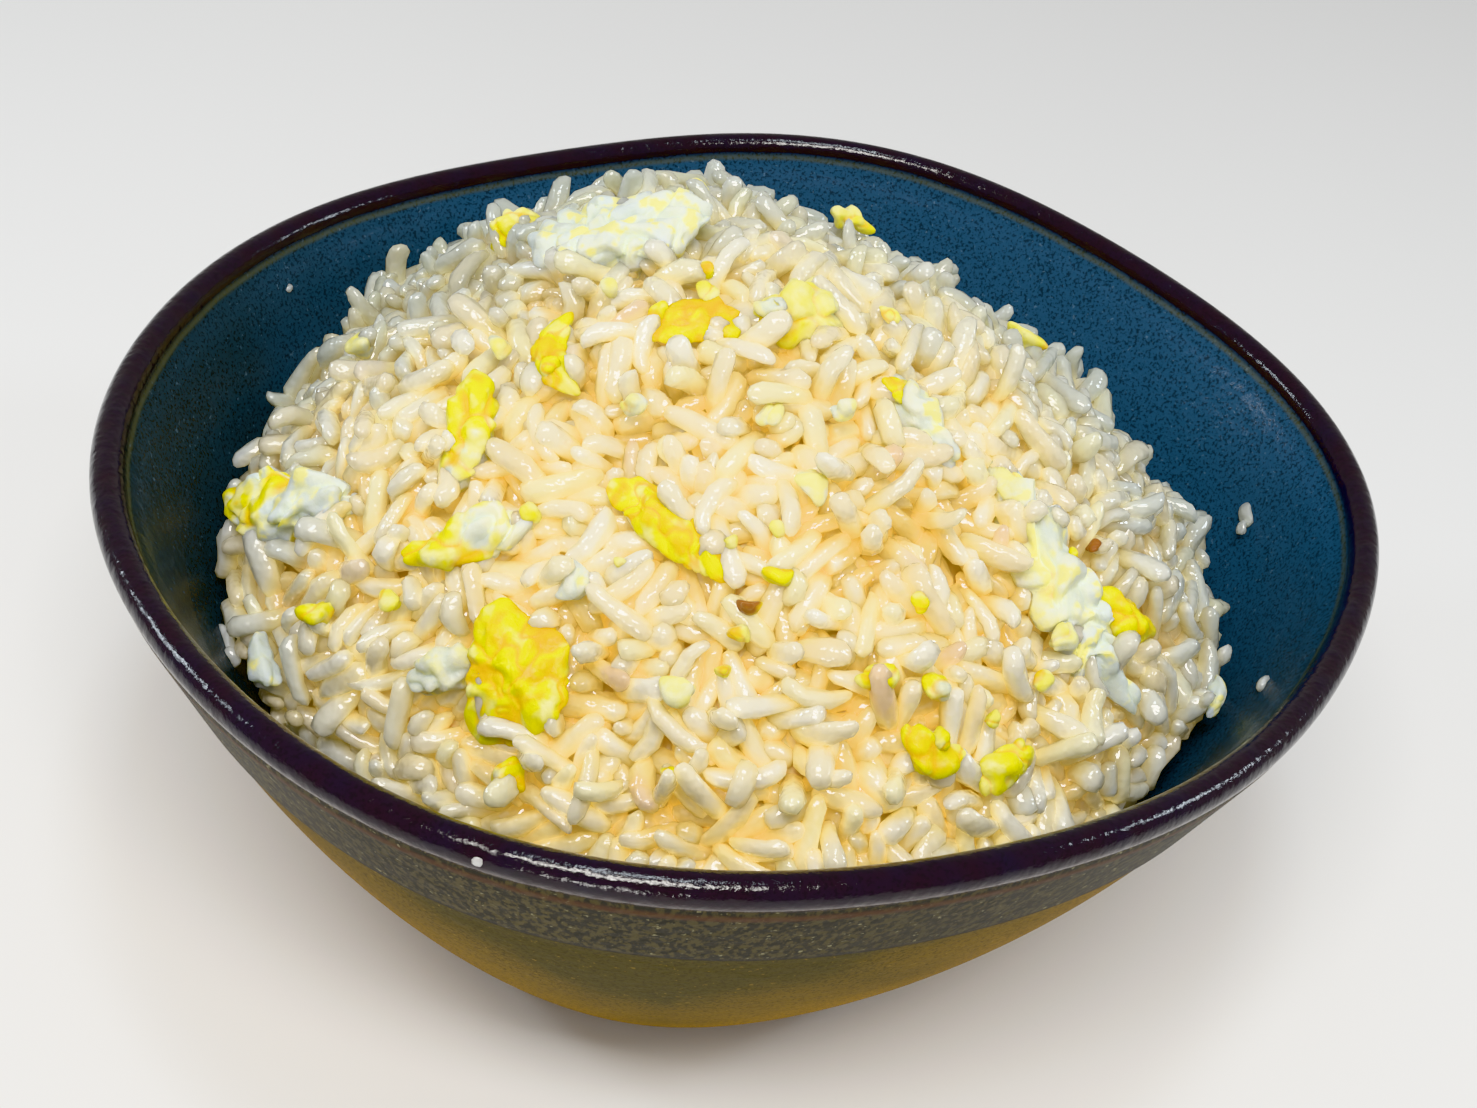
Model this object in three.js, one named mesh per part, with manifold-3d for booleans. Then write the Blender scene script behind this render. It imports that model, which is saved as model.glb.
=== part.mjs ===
// Fried rice with scrambled egg, heaped in its own hand-thrown stoneware bowl.
// Millimetres, +Z up. The bowl stands on its foot ring at z = 0, and the viewer's side is -Y.
import * as THREE from 'three';
import { mergeVertices } from 'three/addons/utils/BufferGeometryUtils.js';
import Module from 'manifold-3d';

const wasm = await Module();
wasm.setup();

// ---------------------------------------------------------------- bowl
const RIM_RADIUS = 78; // mean radius of the lip's outermost line
const RIM_HEIGHT = 65.5; // mean height of the lip's crest
const LIP_RADIUS = 1.9; // the lip is a round bead
const WALL = 4.2; // thickness of the wall, measured level
const BAND_DEPTH = 14; // depth of the darker glaze band under the lip
const WALL_SLOPE = 0.41; // inward run for each mm of depth
const BODY_CURVE = 0.0042; // extra inward run under the band, for each mm of depth squared
const WALL_FOOT = 3; // height at which the wall turns under
const FOOT_RADIUS = 37; // outer radius of the turned foot ring
const FOOT_WIDTH = 4.5;
const FOOT_RECESS = 2; // hollow under the floor, inside the ring
const FLOOR_HEIGHT = 8; // top of the floor at the middle of the bowl
const FLOOR_EDGE = [38, 9.6]; // radius and height at which the floor turns up into the wall
const BOWL_SIDES = 56;
const WALL_DEPTHS = [26, 38, 50]; // depths under the lip, below the band, at which the wall bends
const INNER_DEPTH = 6; // depth at which the inside of the wall starts, under the lip
const LIP_TURNS = [-50, 0, 45, 90, 135, 180]; // degrees round the lip's bead, from its outside over the crest
const FOOT_CHAMFER = 0.8; // small turned edge over the foot ring
const RECESS_SLOPE = 1; // the ring's inner face leans in by this much
// Throwing marks of the rim, as [turns round the bowl, cosine, sine] in mm.
const RIM_PLAN_WAVES = [[2, 0.2, 3.0], [3, 0.6, 0.9], [4, 1.1, -0.1], [5, 0.1, 0.7], [6, -0.4, 0.4]];
const RIM_HEIGHT_WAVES = [[1, 0, -0.5], [2, -2.3, 0.9], [3, -0.5, 0.1]];
const PLAN_WAVE_AT_FOOT = 0.45; // share of the plan waves that is left at the foot
const FOOT_OFF_CENTRE = [-1.2, 0.3]; // the foot's middle, from the middle of the rim's outline

// ---------------------------------------------------------------- heap of rice
const HEAP_CENTRE = new THREE.Vector3(-1.6, 3.8, 40.2);
const HEAP_RADIUS = 66.7;
const HEAP_RISE = 49.8; // from the heap's centre to its crown
const HEAP_SHOULDER = 1.48; // 1 is a cone, 2 a half ball
const HEAP_WAVES = [[1, -0.7, 0], [2, 0.5, -2.1], [3, 0.7, 0], [4, 0.7, 1.0], [5, 1.4, -0.4]];
const CORE_SINK = 1.5; // the core lies this far under the outer faces of the grains
const CORE_DETAIL = 8;
const CORE_BUMP = 0.75; // height of the core's bumps, which are as broad as a grain is long
const BUMP_PITCH = 10;
const HIDDEN_DROP = 50; // how far the core runs down inside the bowl
const HIDDEN_TURN = Math.PI / 4; // the core runs straight down for this turn under level, then closes
const GAP = 0.5; // between the rice and the bowl, and between neighbouring pieces
const GRAIN_LENGTH = 10.4;
const GRAIN_WIDTH = 2.8;
const GRAIN_SIDES = 5;
const GRAIN_OUTLINE = [[0, -1], [0.8, -0.72], [1, 0], [0.8, 0.72], [0, 1]]; // half width and half length shares
const GRAIN_SAG = 0.05; // how far the ends hang down, as a share of the length
const GRAIN_COUNT = 168;
const GRAIN_LENGTHS = [0.8, 0.3]; // least length as a share of the full one, and the range over it
const GRAIN_WIDTHS = [0.92, 0.16];
const GRAIN_LIFTS = [-1.3, 1.1]; // least height over the heap's skin and the range over it, in mm
const GRAIN_TILT = 0.7; // full range of the tilt, in radians
const GRAIN_SCATTER = 0.1; // full range of the sideways scatter, in radians
const LOWEST_GRAIN = 6; // degrees above the heap's level centre plane
const SEED = 7;

// ---------------------------------------------------------------- scrambled egg
// Each piece: its place on the heap as azimuth and elevation in degrees from the heap's centre,
// length, width and height in mm, heading in degrees in the heap's skin, and its curl in degrees.
const EGG_PIECES = [
  { name: 'egg_white_crown', at: [170, 66], size: [23, 12.5, 8], heading: 88, curl: 20, tint: 'white', detail: 2 },
  { name: 'egg_yolk_front', at: [-112, 19], size: [15.5, 11.5, 6], heading: -62, curl: 0, tint: 'yolk', detail: 2 },
  { name: 'egg_yolk_middle', at: [-100, 42], size: [17, 6, 4.6], heading: -20, curl: -20, tint: 'yellow', detail: 2 },
  { name: 'egg_sheet_right', at: [-31, 28], size: [32, 8.5, 4.6], heading: -90, curl: 18, tint: 'white', detail: 3 },
  { name: 'egg_curd_left', at: [-155, 16], size: [23, 9, 6], heading: 39, curl: 0, tint: 'pale', detail: 2 },
  { name: 'egg_strip_left', at: [-128, 29], size: [15.5, 5.4, 4], heading: 50, curl: 20, tint: 'pale' },
  { name: 'egg_twist_left', at: [-141, 39], size: [15, 5.2, 4.4], heading: -51, curl: -25, tint: 'yellow' },
  { name: 'egg_fold_back', at: [-122, 71], size: [11.5, 6.4, 4.4], heading: 49, curl: 0, tint: 'yolk' },
  { name: 'egg_crescent', at: [-145, 54], size: [12.5, 4.4, 4], heading: -23, curl: 35, tint: 'yellow' },
  { name: 'egg_curd_back', at: [-66, 77], size: [12.5, 8, 4.6], heading: 11, curl: 0, tint: 'pale' },
  { name: 'egg_sliver_right', at: [-40, 56], size: [12, 4.8, 4], heading: -95, curl: 10, tint: 'white' },
  { name: 'egg_white_front', at: [-121, 16], size: [11, 5.2, 4.4], heading: 42, curl: 15, tint: 'white' },
  { name: 'egg_curd_low_right', at: [-62, 19], size: [8.4, 4.8, 4], heading: -28, curl: 50, tint: 'yellow' },
  { name: 'egg_curd_edge_right', at: [-52, 15], size: [8.2, 4.4, 4], heading: 13, curl: 0, tint: 'pale' },
  { name: 'egg_lump_right', at: [-25, 21], size: [10.8, 5, 4.6], heading: -58, curl: 0, tint: 'yellow' },
  { name: 'egg_curd_crest', at: [152, 41], size: [7.4, 6, 5], heading: 100, curl: 0, tint: 'yellow' },
];
const EGG_SEAT = 0.9; // height of a piece's middle over the heap's mean skin
const EGG_LUMP = 0.13; // unevenness of a piece, as a share of its size
const CURL_REST = 0.3; // share of the half length squared at which a curled piece stays in line
const CRUMB_HEIGHT = 0.9; // height of a crumb, as a share of its width
const CRUMB_SEAT = -0.7; // height of a crumb's middle over the heap's skin
// Bits of egg smaller than a berry, fused to the rice: place, length, width and heading.
const EGG_CRUMBS = [
  { at: [-68, 27], size: [4.4, 2.9], heading: 5 },
  { at: [-60, 25], size: [3.9, 3.3], heading: -16 },
  { at: [-81, 38], size: [4.2, 2.4], heading: 8 },
  { at: [-110, 31], size: [5.7, 3.6], heading: 85 },
  { at: [20, 45], size: [5.4, 3.2], heading: 60 },
  { at: [131, 70], size: [3.6, 3.0], heading: 30 },
  { at: [-118, 55], size: [3.0, 2.2], heading: 16 },
  { at: [-66, 59], size: [3.2, 2.1], heading: 6 },
  { at: [-138, 13], size: [4.2, 3.0], heading: 54 },
  { at: [-141, 5], size: [7.6, 3.0], heading: -27 },
  { at: [-178, 27], size: [4.6, 2.8], heading: 26 },
  { at: [75, 48], size: [6.0, 4.2], heading: 40 },
  { at: [110, 30], size: [5.2, 3.4], heading: -30 },
  { at: [-108, 10], size: [4.4, 3.4], heading: -48 },
  { at: [40, 25], size: [4.8, 3.6], heading: 75 },
];

const TINTS = {
  white: [0xf2efdc, 0.45],
  pale: [0xf0e08c, 0.45],
  yellow: [0xf6d42a, 0.4],
  yolk: [0xf0b914, 0.38],
};
const degrees = THREE.MathUtils.degToRad;

// ---------------------------------------------------------------- small helpers

/** Sum of slow waves at an angle; each wave is [turns, cosine, sine]. */
function wave(waves, angle) {
  return waves.reduce((sum, [turns, c, s]) => sum + c * Math.cos(turns * angle) + s * Math.sin(turns * angle), 0);
}

/** Repeatable random numbers from 0 to 1. */
function randomFrom(seed) {
  let state = seed;
  return () => {
    state = (state + 0x6d2b79f5) | 0;
    let mixed = Math.imul(state ^ (state >>> 15), 1 | state);
    mixed = (mixed + Math.imul(mixed ^ (mixed >>> 7), 61 | mixed)) ^ mixed;
    return ((mixed ^ (mixed >>> 14)) >>> 0) / 4294967296;
  };
}

/** A closed geometry with shared vertices, and no other attribute than its positions. */
function welded(geometry) {
  geometry.deleteAttribute('normal');
  geometry.deleteAttribute('uv');
  return mergeVertices(geometry, 1e-4);
}

/** Moves every vertex of a geometry by a function of its place. */
function shaped(geometry, move) {
  const places = geometry.attributes.position;
  const place = new THREE.Vector3();
  for (let i = 0; i < places.count; i += 1) {
    place.fromBufferAttribute(places, i);
    const moved = move(place, i);
    places.setXYZ(i, moved.x, moved.y, moved.z);
  }
  return geometry;
}

function toSolid(geometry) {
  const whole = welded(geometry);
  return new wasm.Manifold(new wasm.Mesh({
    numProp: 3,
    vertProperties: new Float32Array(whole.attributes.position.array),
    triVerts: new Uint32Array(whole.index.array),
  }));
}

/** The largest connected skin of a solid: hollows that are sealed inside are filled, scraps dropped. */
function largestBody(solid) {
  return solid.decompose().reduce((best, body) => (body.volume() > best.volume() ? body : best));
}

function toMesh(name, solid, [colour, roughness]) {
  const { vertProperties, triVerts, numProp } = solid.getMesh();
  const places = new Float32Array((vertProperties.length / numProp) * 3);
  for (let i = 0; i < places.length / 3; i += 1) {
    places.set(vertProperties.subarray(i * numProp, i * numProp + 3), i * 3);
  }
  const geometry = new THREE.BufferGeometry();
  geometry.setAttribute('position', new THREE.BufferAttribute(places, 3));
  geometry.setIndex(new THREE.BufferAttribute(new Uint32Array(triVerts), 1));
  geometry.computeVertexNormals();
  const mesh = new THREE.Mesh(geometry, new THREE.MeshStandardMaterial({ color: colour, roughness, metalness: 0 }));
  mesh.name = name;
  return mesh;
}

// ---------------------------------------------------------------- bowl

/** How far the outside of the wall has come in from the rim's outermost line at a depth under it. */
function wallInset(depth) {
  const under = Math.max(0, depth - BAND_DEPTH);
  return WALL_SLOPE * depth + BODY_CURVE * under * under;
}

/** A point of the wall's profile, with its share of the plan waves (sway) and height waves (lift). */
function wallPoint(depth, inward, upward = 0) {
  const share = Math.min(1, depth / (RIM_HEIGHT - 4));
  return {
    radius: RIM_RADIUS - wallInset(depth) - inward,
    height: RIM_HEIGHT - LIP_RADIUS - depth + upward,
    sway: 1 - (1 - PLAN_WAVE_AT_FOOT) * share,
    lift: 1 - share,
  };
}

function levelPoint(radius, height, sway = 0) {
  return { radius, height, sway, lift: 0 };
}

/** A profile turned round the Z axis, then swayed and lifted by the rim's waves. */
function thrown(profile, sides) {
  const outline = profile.map(({ radius, height }) => new THREE.Vector2(radius, height));
  const turned = new THREE.LatheGeometry(outline, sides).rotateX(Math.PI / 2);
  return toSolid(shaped(turned, (place, index) => {
    const { radius, height, sway, lift } = profile[index % profile.length];
    const angle = Math.atan2(place.y, place.x);
    const reach = radius + sway * wave(RIM_PLAN_WAVES, angle);
    return new THREE.Vector3(
      reach * Math.cos(angle),
      reach * Math.sin(angle),
      height + lift * wave(RIM_HEIGHT_WAVES, angle),
    );
  }));
}

function lipPoints() {
  const middle = { radius: RIM_RADIUS - LIP_RADIUS, height: RIM_HEIGHT - LIP_RADIUS };
  return LIP_TURNS.map((turn) => ({
    radius: middle.radius + LIP_RADIUS * Math.cos(degrees(turn)),
    height: middle.height + LIP_RADIUS * Math.sin(degrees(turn)),
    sway: 1,
    lift: 1,
  }));
}

function makeBowl() {
  const wallBottom = RIM_HEIGHT - LIP_RADIUS - WALL_FOOT;
  const outside = [wallBottom, ...WALL_DEPTHS.toReversed(), BAND_DEPTH].map((depth) => wallPoint(depth, 0));
  const inside = [INNER_DEPTH, BAND_DEPTH, ...WALL_DEPTHS].map((depth) => wallPoint(depth, WALL));
  return thrown([
    levelPoint(0, FOOT_RECESS),
    levelPoint(FOOT_RADIUS - FOOT_WIDTH - RECESS_SLOPE, FOOT_RECESS),
    levelPoint(FOOT_RADIUS - FOOT_WIDTH, 0),
    levelPoint(FOOT_RADIUS, 0),
    levelPoint(FOOT_RADIUS + FOOT_CHAMFER, WALL_FOOT - FOOT_CHAMFER),
    ...outside,
    ...lipPoints(),
    ...inside,
    levelPoint(FLOOR_EDGE[0], FLOOR_EDGE[1], PLAN_WAVE_AT_FOOT),
    levelPoint(0, FLOOR_HEIGHT),
  ], BOWL_SIDES);
}

/** The room inside the bowl, the gap short of its wall and floor, and open to above the heap. */
function makeRoom() {
  const ceiling = RIM_HEIGHT + HEAP_RISE;
  const wall = [...WALL_DEPTHS.toReversed(), BAND_DEPTH, 0].map((depth) => wallPoint(depth, WALL + GAP));
  return thrown([
    levelPoint(0, FLOOR_HEIGHT + GAP),
    levelPoint(FLOOR_EDGE[0] - GAP, FLOOR_EDGE[1] + GAP, PLAN_WAVE_AT_FOOT),
    ...wall,
    levelPoint(RIM_RADIUS - WALL - GAP, ceiling, 1),
    levelPoint(0, ceiling),
  ], BOWL_SIDES / 2);
}

// ---------------------------------------------------------------- heap

/** Point of the heap's skin in a direction from its centre, and raised from it by lift. */
function heapPoint(azimuth, elevation, lift = 0) {
  const level = Math.cos(elevation);
  const rise = Math.sin(elevation);
  const plain = (level / HEAP_RADIUS) ** HEAP_SHOULDER + (rise / HEAP_RISE) ** HEAP_SHOULDER;
  const uneven = 1 + (wave(HEAP_WAVES, azimuth) / HEAP_RADIUS) * level ** 0.6;
  const reach = plain ** (-1 / HEAP_SHOULDER) * uneven + lift;
  return new THREE.Vector3(
    reach * level * Math.cos(azimuth),
    reach * level * Math.sin(azimuth),
    reach * rise,
  ).add(HEAP_CENTRE);
}

function directionOf(point) {
  const from = point.clone().sub(HEAP_CENTRE);
  return [Math.atan2(from.y, from.x), Math.max(0, Math.atan2(from.z, Math.hypot(from.x, from.y)))];
}

/** The heap's skin in a direction: a place on it, and the ways east, north and out of it. */
function skinFrame(azimuth, elevation) {
  const step = 0.01;
  const high = Math.min(elevation, Math.PI / 2 - 2 * step);
  const place = heapPoint(azimuth, high);
  const east = heapPoint(azimuth + step, high).sub(heapPoint(azimuth - step, high)).normalize();
  const north = heapPoint(azimuth, high + step).sub(heapPoint(azimuth, high - step)).normalize();
  const out = new THREE.Vector3().crossVectors(east, north).normalize();
  return { place, east, north: new THREE.Vector3().crossVectors(out, east), out };
}

/** Bumps about as broad as a grain is long. */
function bump({ x, y, z }) {
  const k = (2 * Math.PI) / BUMP_PITCH;
  return CORE_BUMP * (
    Math.sin(k * (x + 0.4 * y) + 1.1) * Math.sin(k * (y - 0.3 * z) + 0.3) + 0.5 * Math.sin(k * 1.7 * (z - 0.6 * x))
  );
}

/** Core of the heap, which fills the bowl; grown is how far its skin stands off. */
function makeCore(room, grown = 0) {
  const ball = new THREE.IcosahedronGeometry(1, CORE_DETAIL);
  const lump = toSolid(shaped(ball, (way) => {
    const azimuth = Math.atan2(way.y, way.x);
    const elevation = Math.asin(THREE.MathUtils.clamp(way.z, -1, 1));
    if (elevation >= 0) {
      const skin = heapPoint(azimuth, elevation, grown - CORE_SINK);
      return heapPoint(azimuth, elevation, grown - CORE_SINK + bump(skin));
    }
    const depth = Math.min(1, -elevation / HIDDEN_TURN);
    const spread = Math.min(1, (Math.PI / 2 + elevation) / HIDDEN_TURN);
    const edge = heapPoint(azimuth, 0, grown - CORE_SINK).sub(HEAP_CENTRE);
    return edge.multiplyScalar(spread).add(HEAP_CENTRE).setZ(HEAP_CENTRE.z - HIDDEN_DROP * depth);
  }));
  return lump.intersect(room);
}

/** A cooked grain, blunt at both ends, lying along X with its flat side down. */
function grainGeometry(length, width) {
  const half = length / 2;
  const outline = GRAIN_OUTLINE.map(([out, along]) => new THREE.Vector2((out * width) / 2, along * half));
  const grain = new THREE.LatheGeometry(outline, GRAIN_SIDES).rotateZ(-Math.PI / 2);
  const sag = length * GRAIN_SAG;
  return shaped(grain, (place) => place.setZ(place.z - sag * (place.x / half) ** 2));
}

/** Stands a geometry that lies along X on the heap's skin. */
function laidOnHeap(geometry, azimuth, elevation, { heading, tilt = 0, lift = 0 }) {
  const { place, east, north, out } = skinFrame(azimuth, elevation);
  const stance = new THREE.Matrix4().makeBasis(east, north, out);
  geometry.rotateY(-tilt).rotateZ(heading).applyMatrix4(stance);
  const foot = place.addScaledVector(out, lift);
  return geometry.translate(foot.x, foot.y, foot.z);
}

/** Grains on an even spiral over the heap, each with its own size, heading and tilt. */
function makeGrains() {
  const random = randomFrom(SEED);
  const within = ([least, range]) => least + range * random();
  const goldenTurn = Math.PI * (3 - Math.sqrt(5));
  const lowest = Math.sin(degrees(LOWEST_GRAIN));
  return Array.from({ length: GRAIN_COUNT }, (_, index) => {
    const elevation = Math.asin(1 - (1 - lowest) * ((index + 0.5) / GRAIN_COUNT));
    const azimuth = index * goldenTurn + GRAIN_SCATTER * (random() - 0.5);
    const grain = grainGeometry(GRAIN_LENGTH * within(GRAIN_LENGTHS), GRAIN_WIDTH * within(GRAIN_WIDTHS));
    return toSolid(laidOnHeap(grain, azimuth, elevation, {
      heading: random() * Math.PI * 2,
      tilt: (random() - 0.5) * GRAIN_TILT,
      lift: within(GRAIN_LIFTS),
    }));
  });
}

function makeCrumbs() {
  return EGG_CRUMBS.map(({ at, size: [length, width], heading }) => {
    const crumb = new THREE.IcosahedronGeometry(0.5, 0).scale(length, width, width * CRUMB_HEIGHT);
    const stance = { heading: degrees(heading), lift: CRUMB_SEAT };
    return toSolid(laidOnHeap(crumb, degrees(at[0]), degrees(at[1]), stance));
  });
}

// ---------------------------------------------------------------- egg

/** Swellings of a piece of egg in a direction from its middle, other ones for each piece. */
function lobes(way, order) {
  return Math.sin(3.3 * way.x + 2.1 * order) * Math.cos(2.6 * way.y - order) + Math.sin(4.1 * way.z + order);
}

/** A soft lobed piece of egg that drapes over the heap; grown adds to it all round. */
function eggSolid(piece, order, grown = 0) {
  const [length, width, height] = piece.size.map((size) => size / 2 + grown);
  const { place, east, north } = skinFrame(degrees(piece.at[0]), degrees(piece.at[1]));
  const heading = degrees(piece.heading);
  const curl = degrees(piece.curl);
  const ball = new THREE.IcosahedronGeometry(1, piece.detail ?? 1);
  return toSolid(shaped(ball, (way) => {
    const fullness = 1 + EGG_LUMP * lobes(way, order);
    const along = way.x * length * fullness;
    const bow = (along * along - CURL_REST * length * length) / length;
    const across = way.y * width * fullness + 0.5 * curl * bow;
    const spot = place.clone()
      .addScaledVector(east, along * Math.cos(heading) - across * Math.sin(heading))
      .addScaledVector(north, along * Math.sin(heading) + across * Math.cos(heading));
    const skin = skinFrame(...directionOf(spot));
    return skin.place.addScaledVector(skin.out, EGG_SEAT + way.z * height * fullness - CORE_SINK / 2);
  }));
}

/** Every piece of egg, seated in the core and clear of the pieces before it. */
function makeEggs(grownCore, room) {
  const guards = [];
  return EGG_PIECES.map((piece, order) => {
    const taken = wasm.Manifold.union([grownCore, ...guards]);
    const body = largestBody(eggSolid(piece, order).intersect(room).subtract(taken));
    guards.push(eggSolid(piece, order, GAP));
    return { ...piece, body, guard: guards[order] };
  });
}

/** The heap: its core, and every grain and crumb that stays in the bowl and clear of the egg. */
function makeRice(room, eggs) {
  const eggGuards = wasm.Manifold.union(eggs.map(({ guard }) => guard));
  const clear = [...makeGrains(), ...makeCrumbs()].filter((bit) => (
    bit.intersect(eggGuards).isEmpty() && bit.subtract(room).isEmpty()
  ));
  const core = makeCore(room).subtract(wasm.Manifold.union(eggs.map(({ body }) => body)));
  return largestBody(wasm.Manifold.union([core, ...clear]));
}

// ---------------------------------------------------------------- the dish

const room = makeRoom();
const eggs = makeEggs(makeCore(room, GAP), room);

const dish = new THREE.Group();
dish.position.set(FOOT_OFF_CENTRE[0], FOOT_OFF_CENTRE[1], 0);
dish.add(toMesh('bowl', makeBowl(), [0x26323a, 0.25]));
dish.add(toMesh('rice', makeRice(room, eggs), [0xeadfc4, 0.35]));
eggs.forEach(({ name, body, tint }) => dish.add(toMesh(name, body, TINTS[tint])));

export default dish;
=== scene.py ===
"""Egg fried rice heaped in its stoneware bowl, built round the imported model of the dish."""
import math
from collections import namedtuple

import bmesh
import bpy
import numpy as np
from bpy.props import FloatProperty, FloatVectorProperty, IntProperty, PointerProperty
from mathutils import Matrix, Vector, noise
from mathutils.kdtree import KDTree


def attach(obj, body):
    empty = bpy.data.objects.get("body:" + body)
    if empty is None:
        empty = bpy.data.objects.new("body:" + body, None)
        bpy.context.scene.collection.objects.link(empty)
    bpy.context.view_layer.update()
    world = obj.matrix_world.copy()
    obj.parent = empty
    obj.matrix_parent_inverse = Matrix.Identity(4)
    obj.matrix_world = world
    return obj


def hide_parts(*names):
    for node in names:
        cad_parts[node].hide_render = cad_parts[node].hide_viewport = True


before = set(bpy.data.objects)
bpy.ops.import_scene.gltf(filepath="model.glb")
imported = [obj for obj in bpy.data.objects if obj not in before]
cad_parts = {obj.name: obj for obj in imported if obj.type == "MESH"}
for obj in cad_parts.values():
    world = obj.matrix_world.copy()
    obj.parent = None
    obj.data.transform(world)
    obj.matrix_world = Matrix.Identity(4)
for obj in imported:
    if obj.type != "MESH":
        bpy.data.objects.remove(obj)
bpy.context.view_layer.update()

bl_info = {
    "name": "Bowl of egg fried rice",
    "version": (1, 0, 0),
    "blender": (4, 5, 0),
    "location": "3D View > Sidebar > Fried rice",
    "description": "Makes a glazed bowl with a heap of egg fried rice",
    "category": "Mesh",
}

MM = 0.001
BODY = "root"

# The bowl's form, in millimetres; its waves are (turns round the bowl, cosine, sine).
FOOT_OFF_CENTRE = np.array([-1.2, 0.3, 0.0])
WALL_SLOPE = 0.41
BODY_CURVE = 0.0042
PLAN_WAVE_AT_FOOT = 0.45
WALL_FOOT = 3.0
FOOT_RADIUS = 37.0
FOOT_WIDTH = 4.5
FOOT_RECESS = 2.0
FLOOR_HEIGHT = 8.0
FLOOR_EDGE = (38.0, 9.6)
BAND_STEP = 0.28
LIP_TURN = (-42, 190)
INNER_DEPTHS = (3.0, 52.0)
SPIN_STEPS = 288
RIM_PLAN_WAVES = ((2, 0.2, 3.0), (3, 0.6, 0.9), (4, 1.1, -0.1), (5, 0.1, 0.7), (6, -0.4, 0.4))
RIM_HEIGHT_WAVES = ((1, 0.0, -0.5), (2, -2.3, 0.9), (3, -0.5, 0.1))

# The heap's form, in millimetres.
HEAP_CENTRE = np.array([-1.6, 3.8, 40.2])
HEAP_SHOULDER = 1.48
HEAP_WAVES = ((1, -0.7, 0.0), (2, 0.5, -2.1), (3, 0.7, 0.0), (4, 0.7, 1.0), (5, 1.4, -0.4))

# A piece of egg: its place on the heap (azimuth and elevation from its centre, degrees), its length, width
# and height in mm, its heading in the heap's skin, its curl, how the yolk runs from end to end, its tint,
# how the yolk runs from side to side, and how high its middle lies over the skin.
EggPiece = namedtuple("EggPiece", "at size heading curl yolk tint side seat", defaults=("yellow", 0.0, None))
EGG_PIECES = {
    "egg_white_crown": EggPiece((170, 66), (23, 12.5, 8), 88, 20, (0.16, 0.0), "white"),
    "egg_yolk_front": EggPiece((-112, 19), (15.5, 11.5, 6), -62, 0, (0.92, 0.72), "yolk"),
    "egg_yolk_middle": EggPiece((-100, 42), (17, 6, 4.6), -20, -20, (0.8, 0.95), "yellow"),
    "egg_sheet_right": EggPiece((-31, 28), (32, 8.5, 4.6), -90, 18, (0.3, 0.0), "white", side=-0.1),
    "egg_curd_left": EggPiece((-155, 16), (23, 9, 6), 39, 0, (0.75, -0.1), "pale"),
    "egg_strip_left": EggPiece((-128, 29), (15.5, 5.4, 4), 50, 20, (0.9, 0.0), "pale"),
    "egg_twist_left": EggPiece((-141, 39), (15, 5.2, 4.4), -51, -25, (0.95, 0.1), "yellow"),
    "egg_fold_back": EggPiece((-122, 71), (11.5, 6.4, 4.4), 49, 0, (1.2, 1.15), "yolk"),
    "egg_crescent": EggPiece((-145, 54), (12.5, 4.4, 4), -23, 35, (0.8, 0.8), "yellow"),
    "egg_curd_back": EggPiece((-66, 77), (12.5, 8, 4.6), 11, 0, (0.5, 0.3), "pale"),
    "egg_sliver_right": EggPiece((-40, 56), (12, 4.8, 4), -95, 10, (0.1, 0.1), "white"),
    "egg_white_front": EggPiece((-121, 16), (11, 5.2, 4.4), 42, 15, (0.1, 0.3), "white"),
    "egg_curd_low_right": EggPiece((-62, 19), (8.4, 4.8, 4), -28, 50, (0.8, 0.8), "yellow"),
    "egg_curd_edge_right": EggPiece((-52, 15), (8.2, 4.4, 4), 13, 0, (0.5, 0.6), "pale"),
    "egg_lump_right": EggPiece((-25, 21), (10.8, 5, 4.6), -58, 0, (0.9, 0.9), "yellow"),
    "egg_curd_crest": EggPiece((152, 41), (7.4, 6, 5), 100, 0, (0.55, 0.5), "yellow"),
}
# How egg is worked, in millimetres or as shares: lobes, the raggedness of its outline, the depth of its
# folds and the share of yolk from which it is solid; the pitches of outline, folds, fine folds and drape.
EGG_LUMP = 0.13
EGG_RAGGED = 0.26
YOLK_RAGGED = 0.12
YOLK_FOLDS, MIXED_FOLDS, WHITE_FOLDS = 0.6, 0.9, 1.25
SOLID_YOLK = 0.7
OUTLINE_PITCH, FOLD_PITCH, FINE_PITCH, DRAPE_PITCH = 3.6, 4.0, 1.3, 5.5
EGG_DRAPE = 1.3
EGG_LONG = 14
TINY_CRUMBS = 26
TINY_CRUMB_SEAT = -0.9
CRUMB_SEAT = -0.3
CRUMB_HEIGHT = 2.8
CRUMB_SEED = 29
STRAY_SEED = 5

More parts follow.
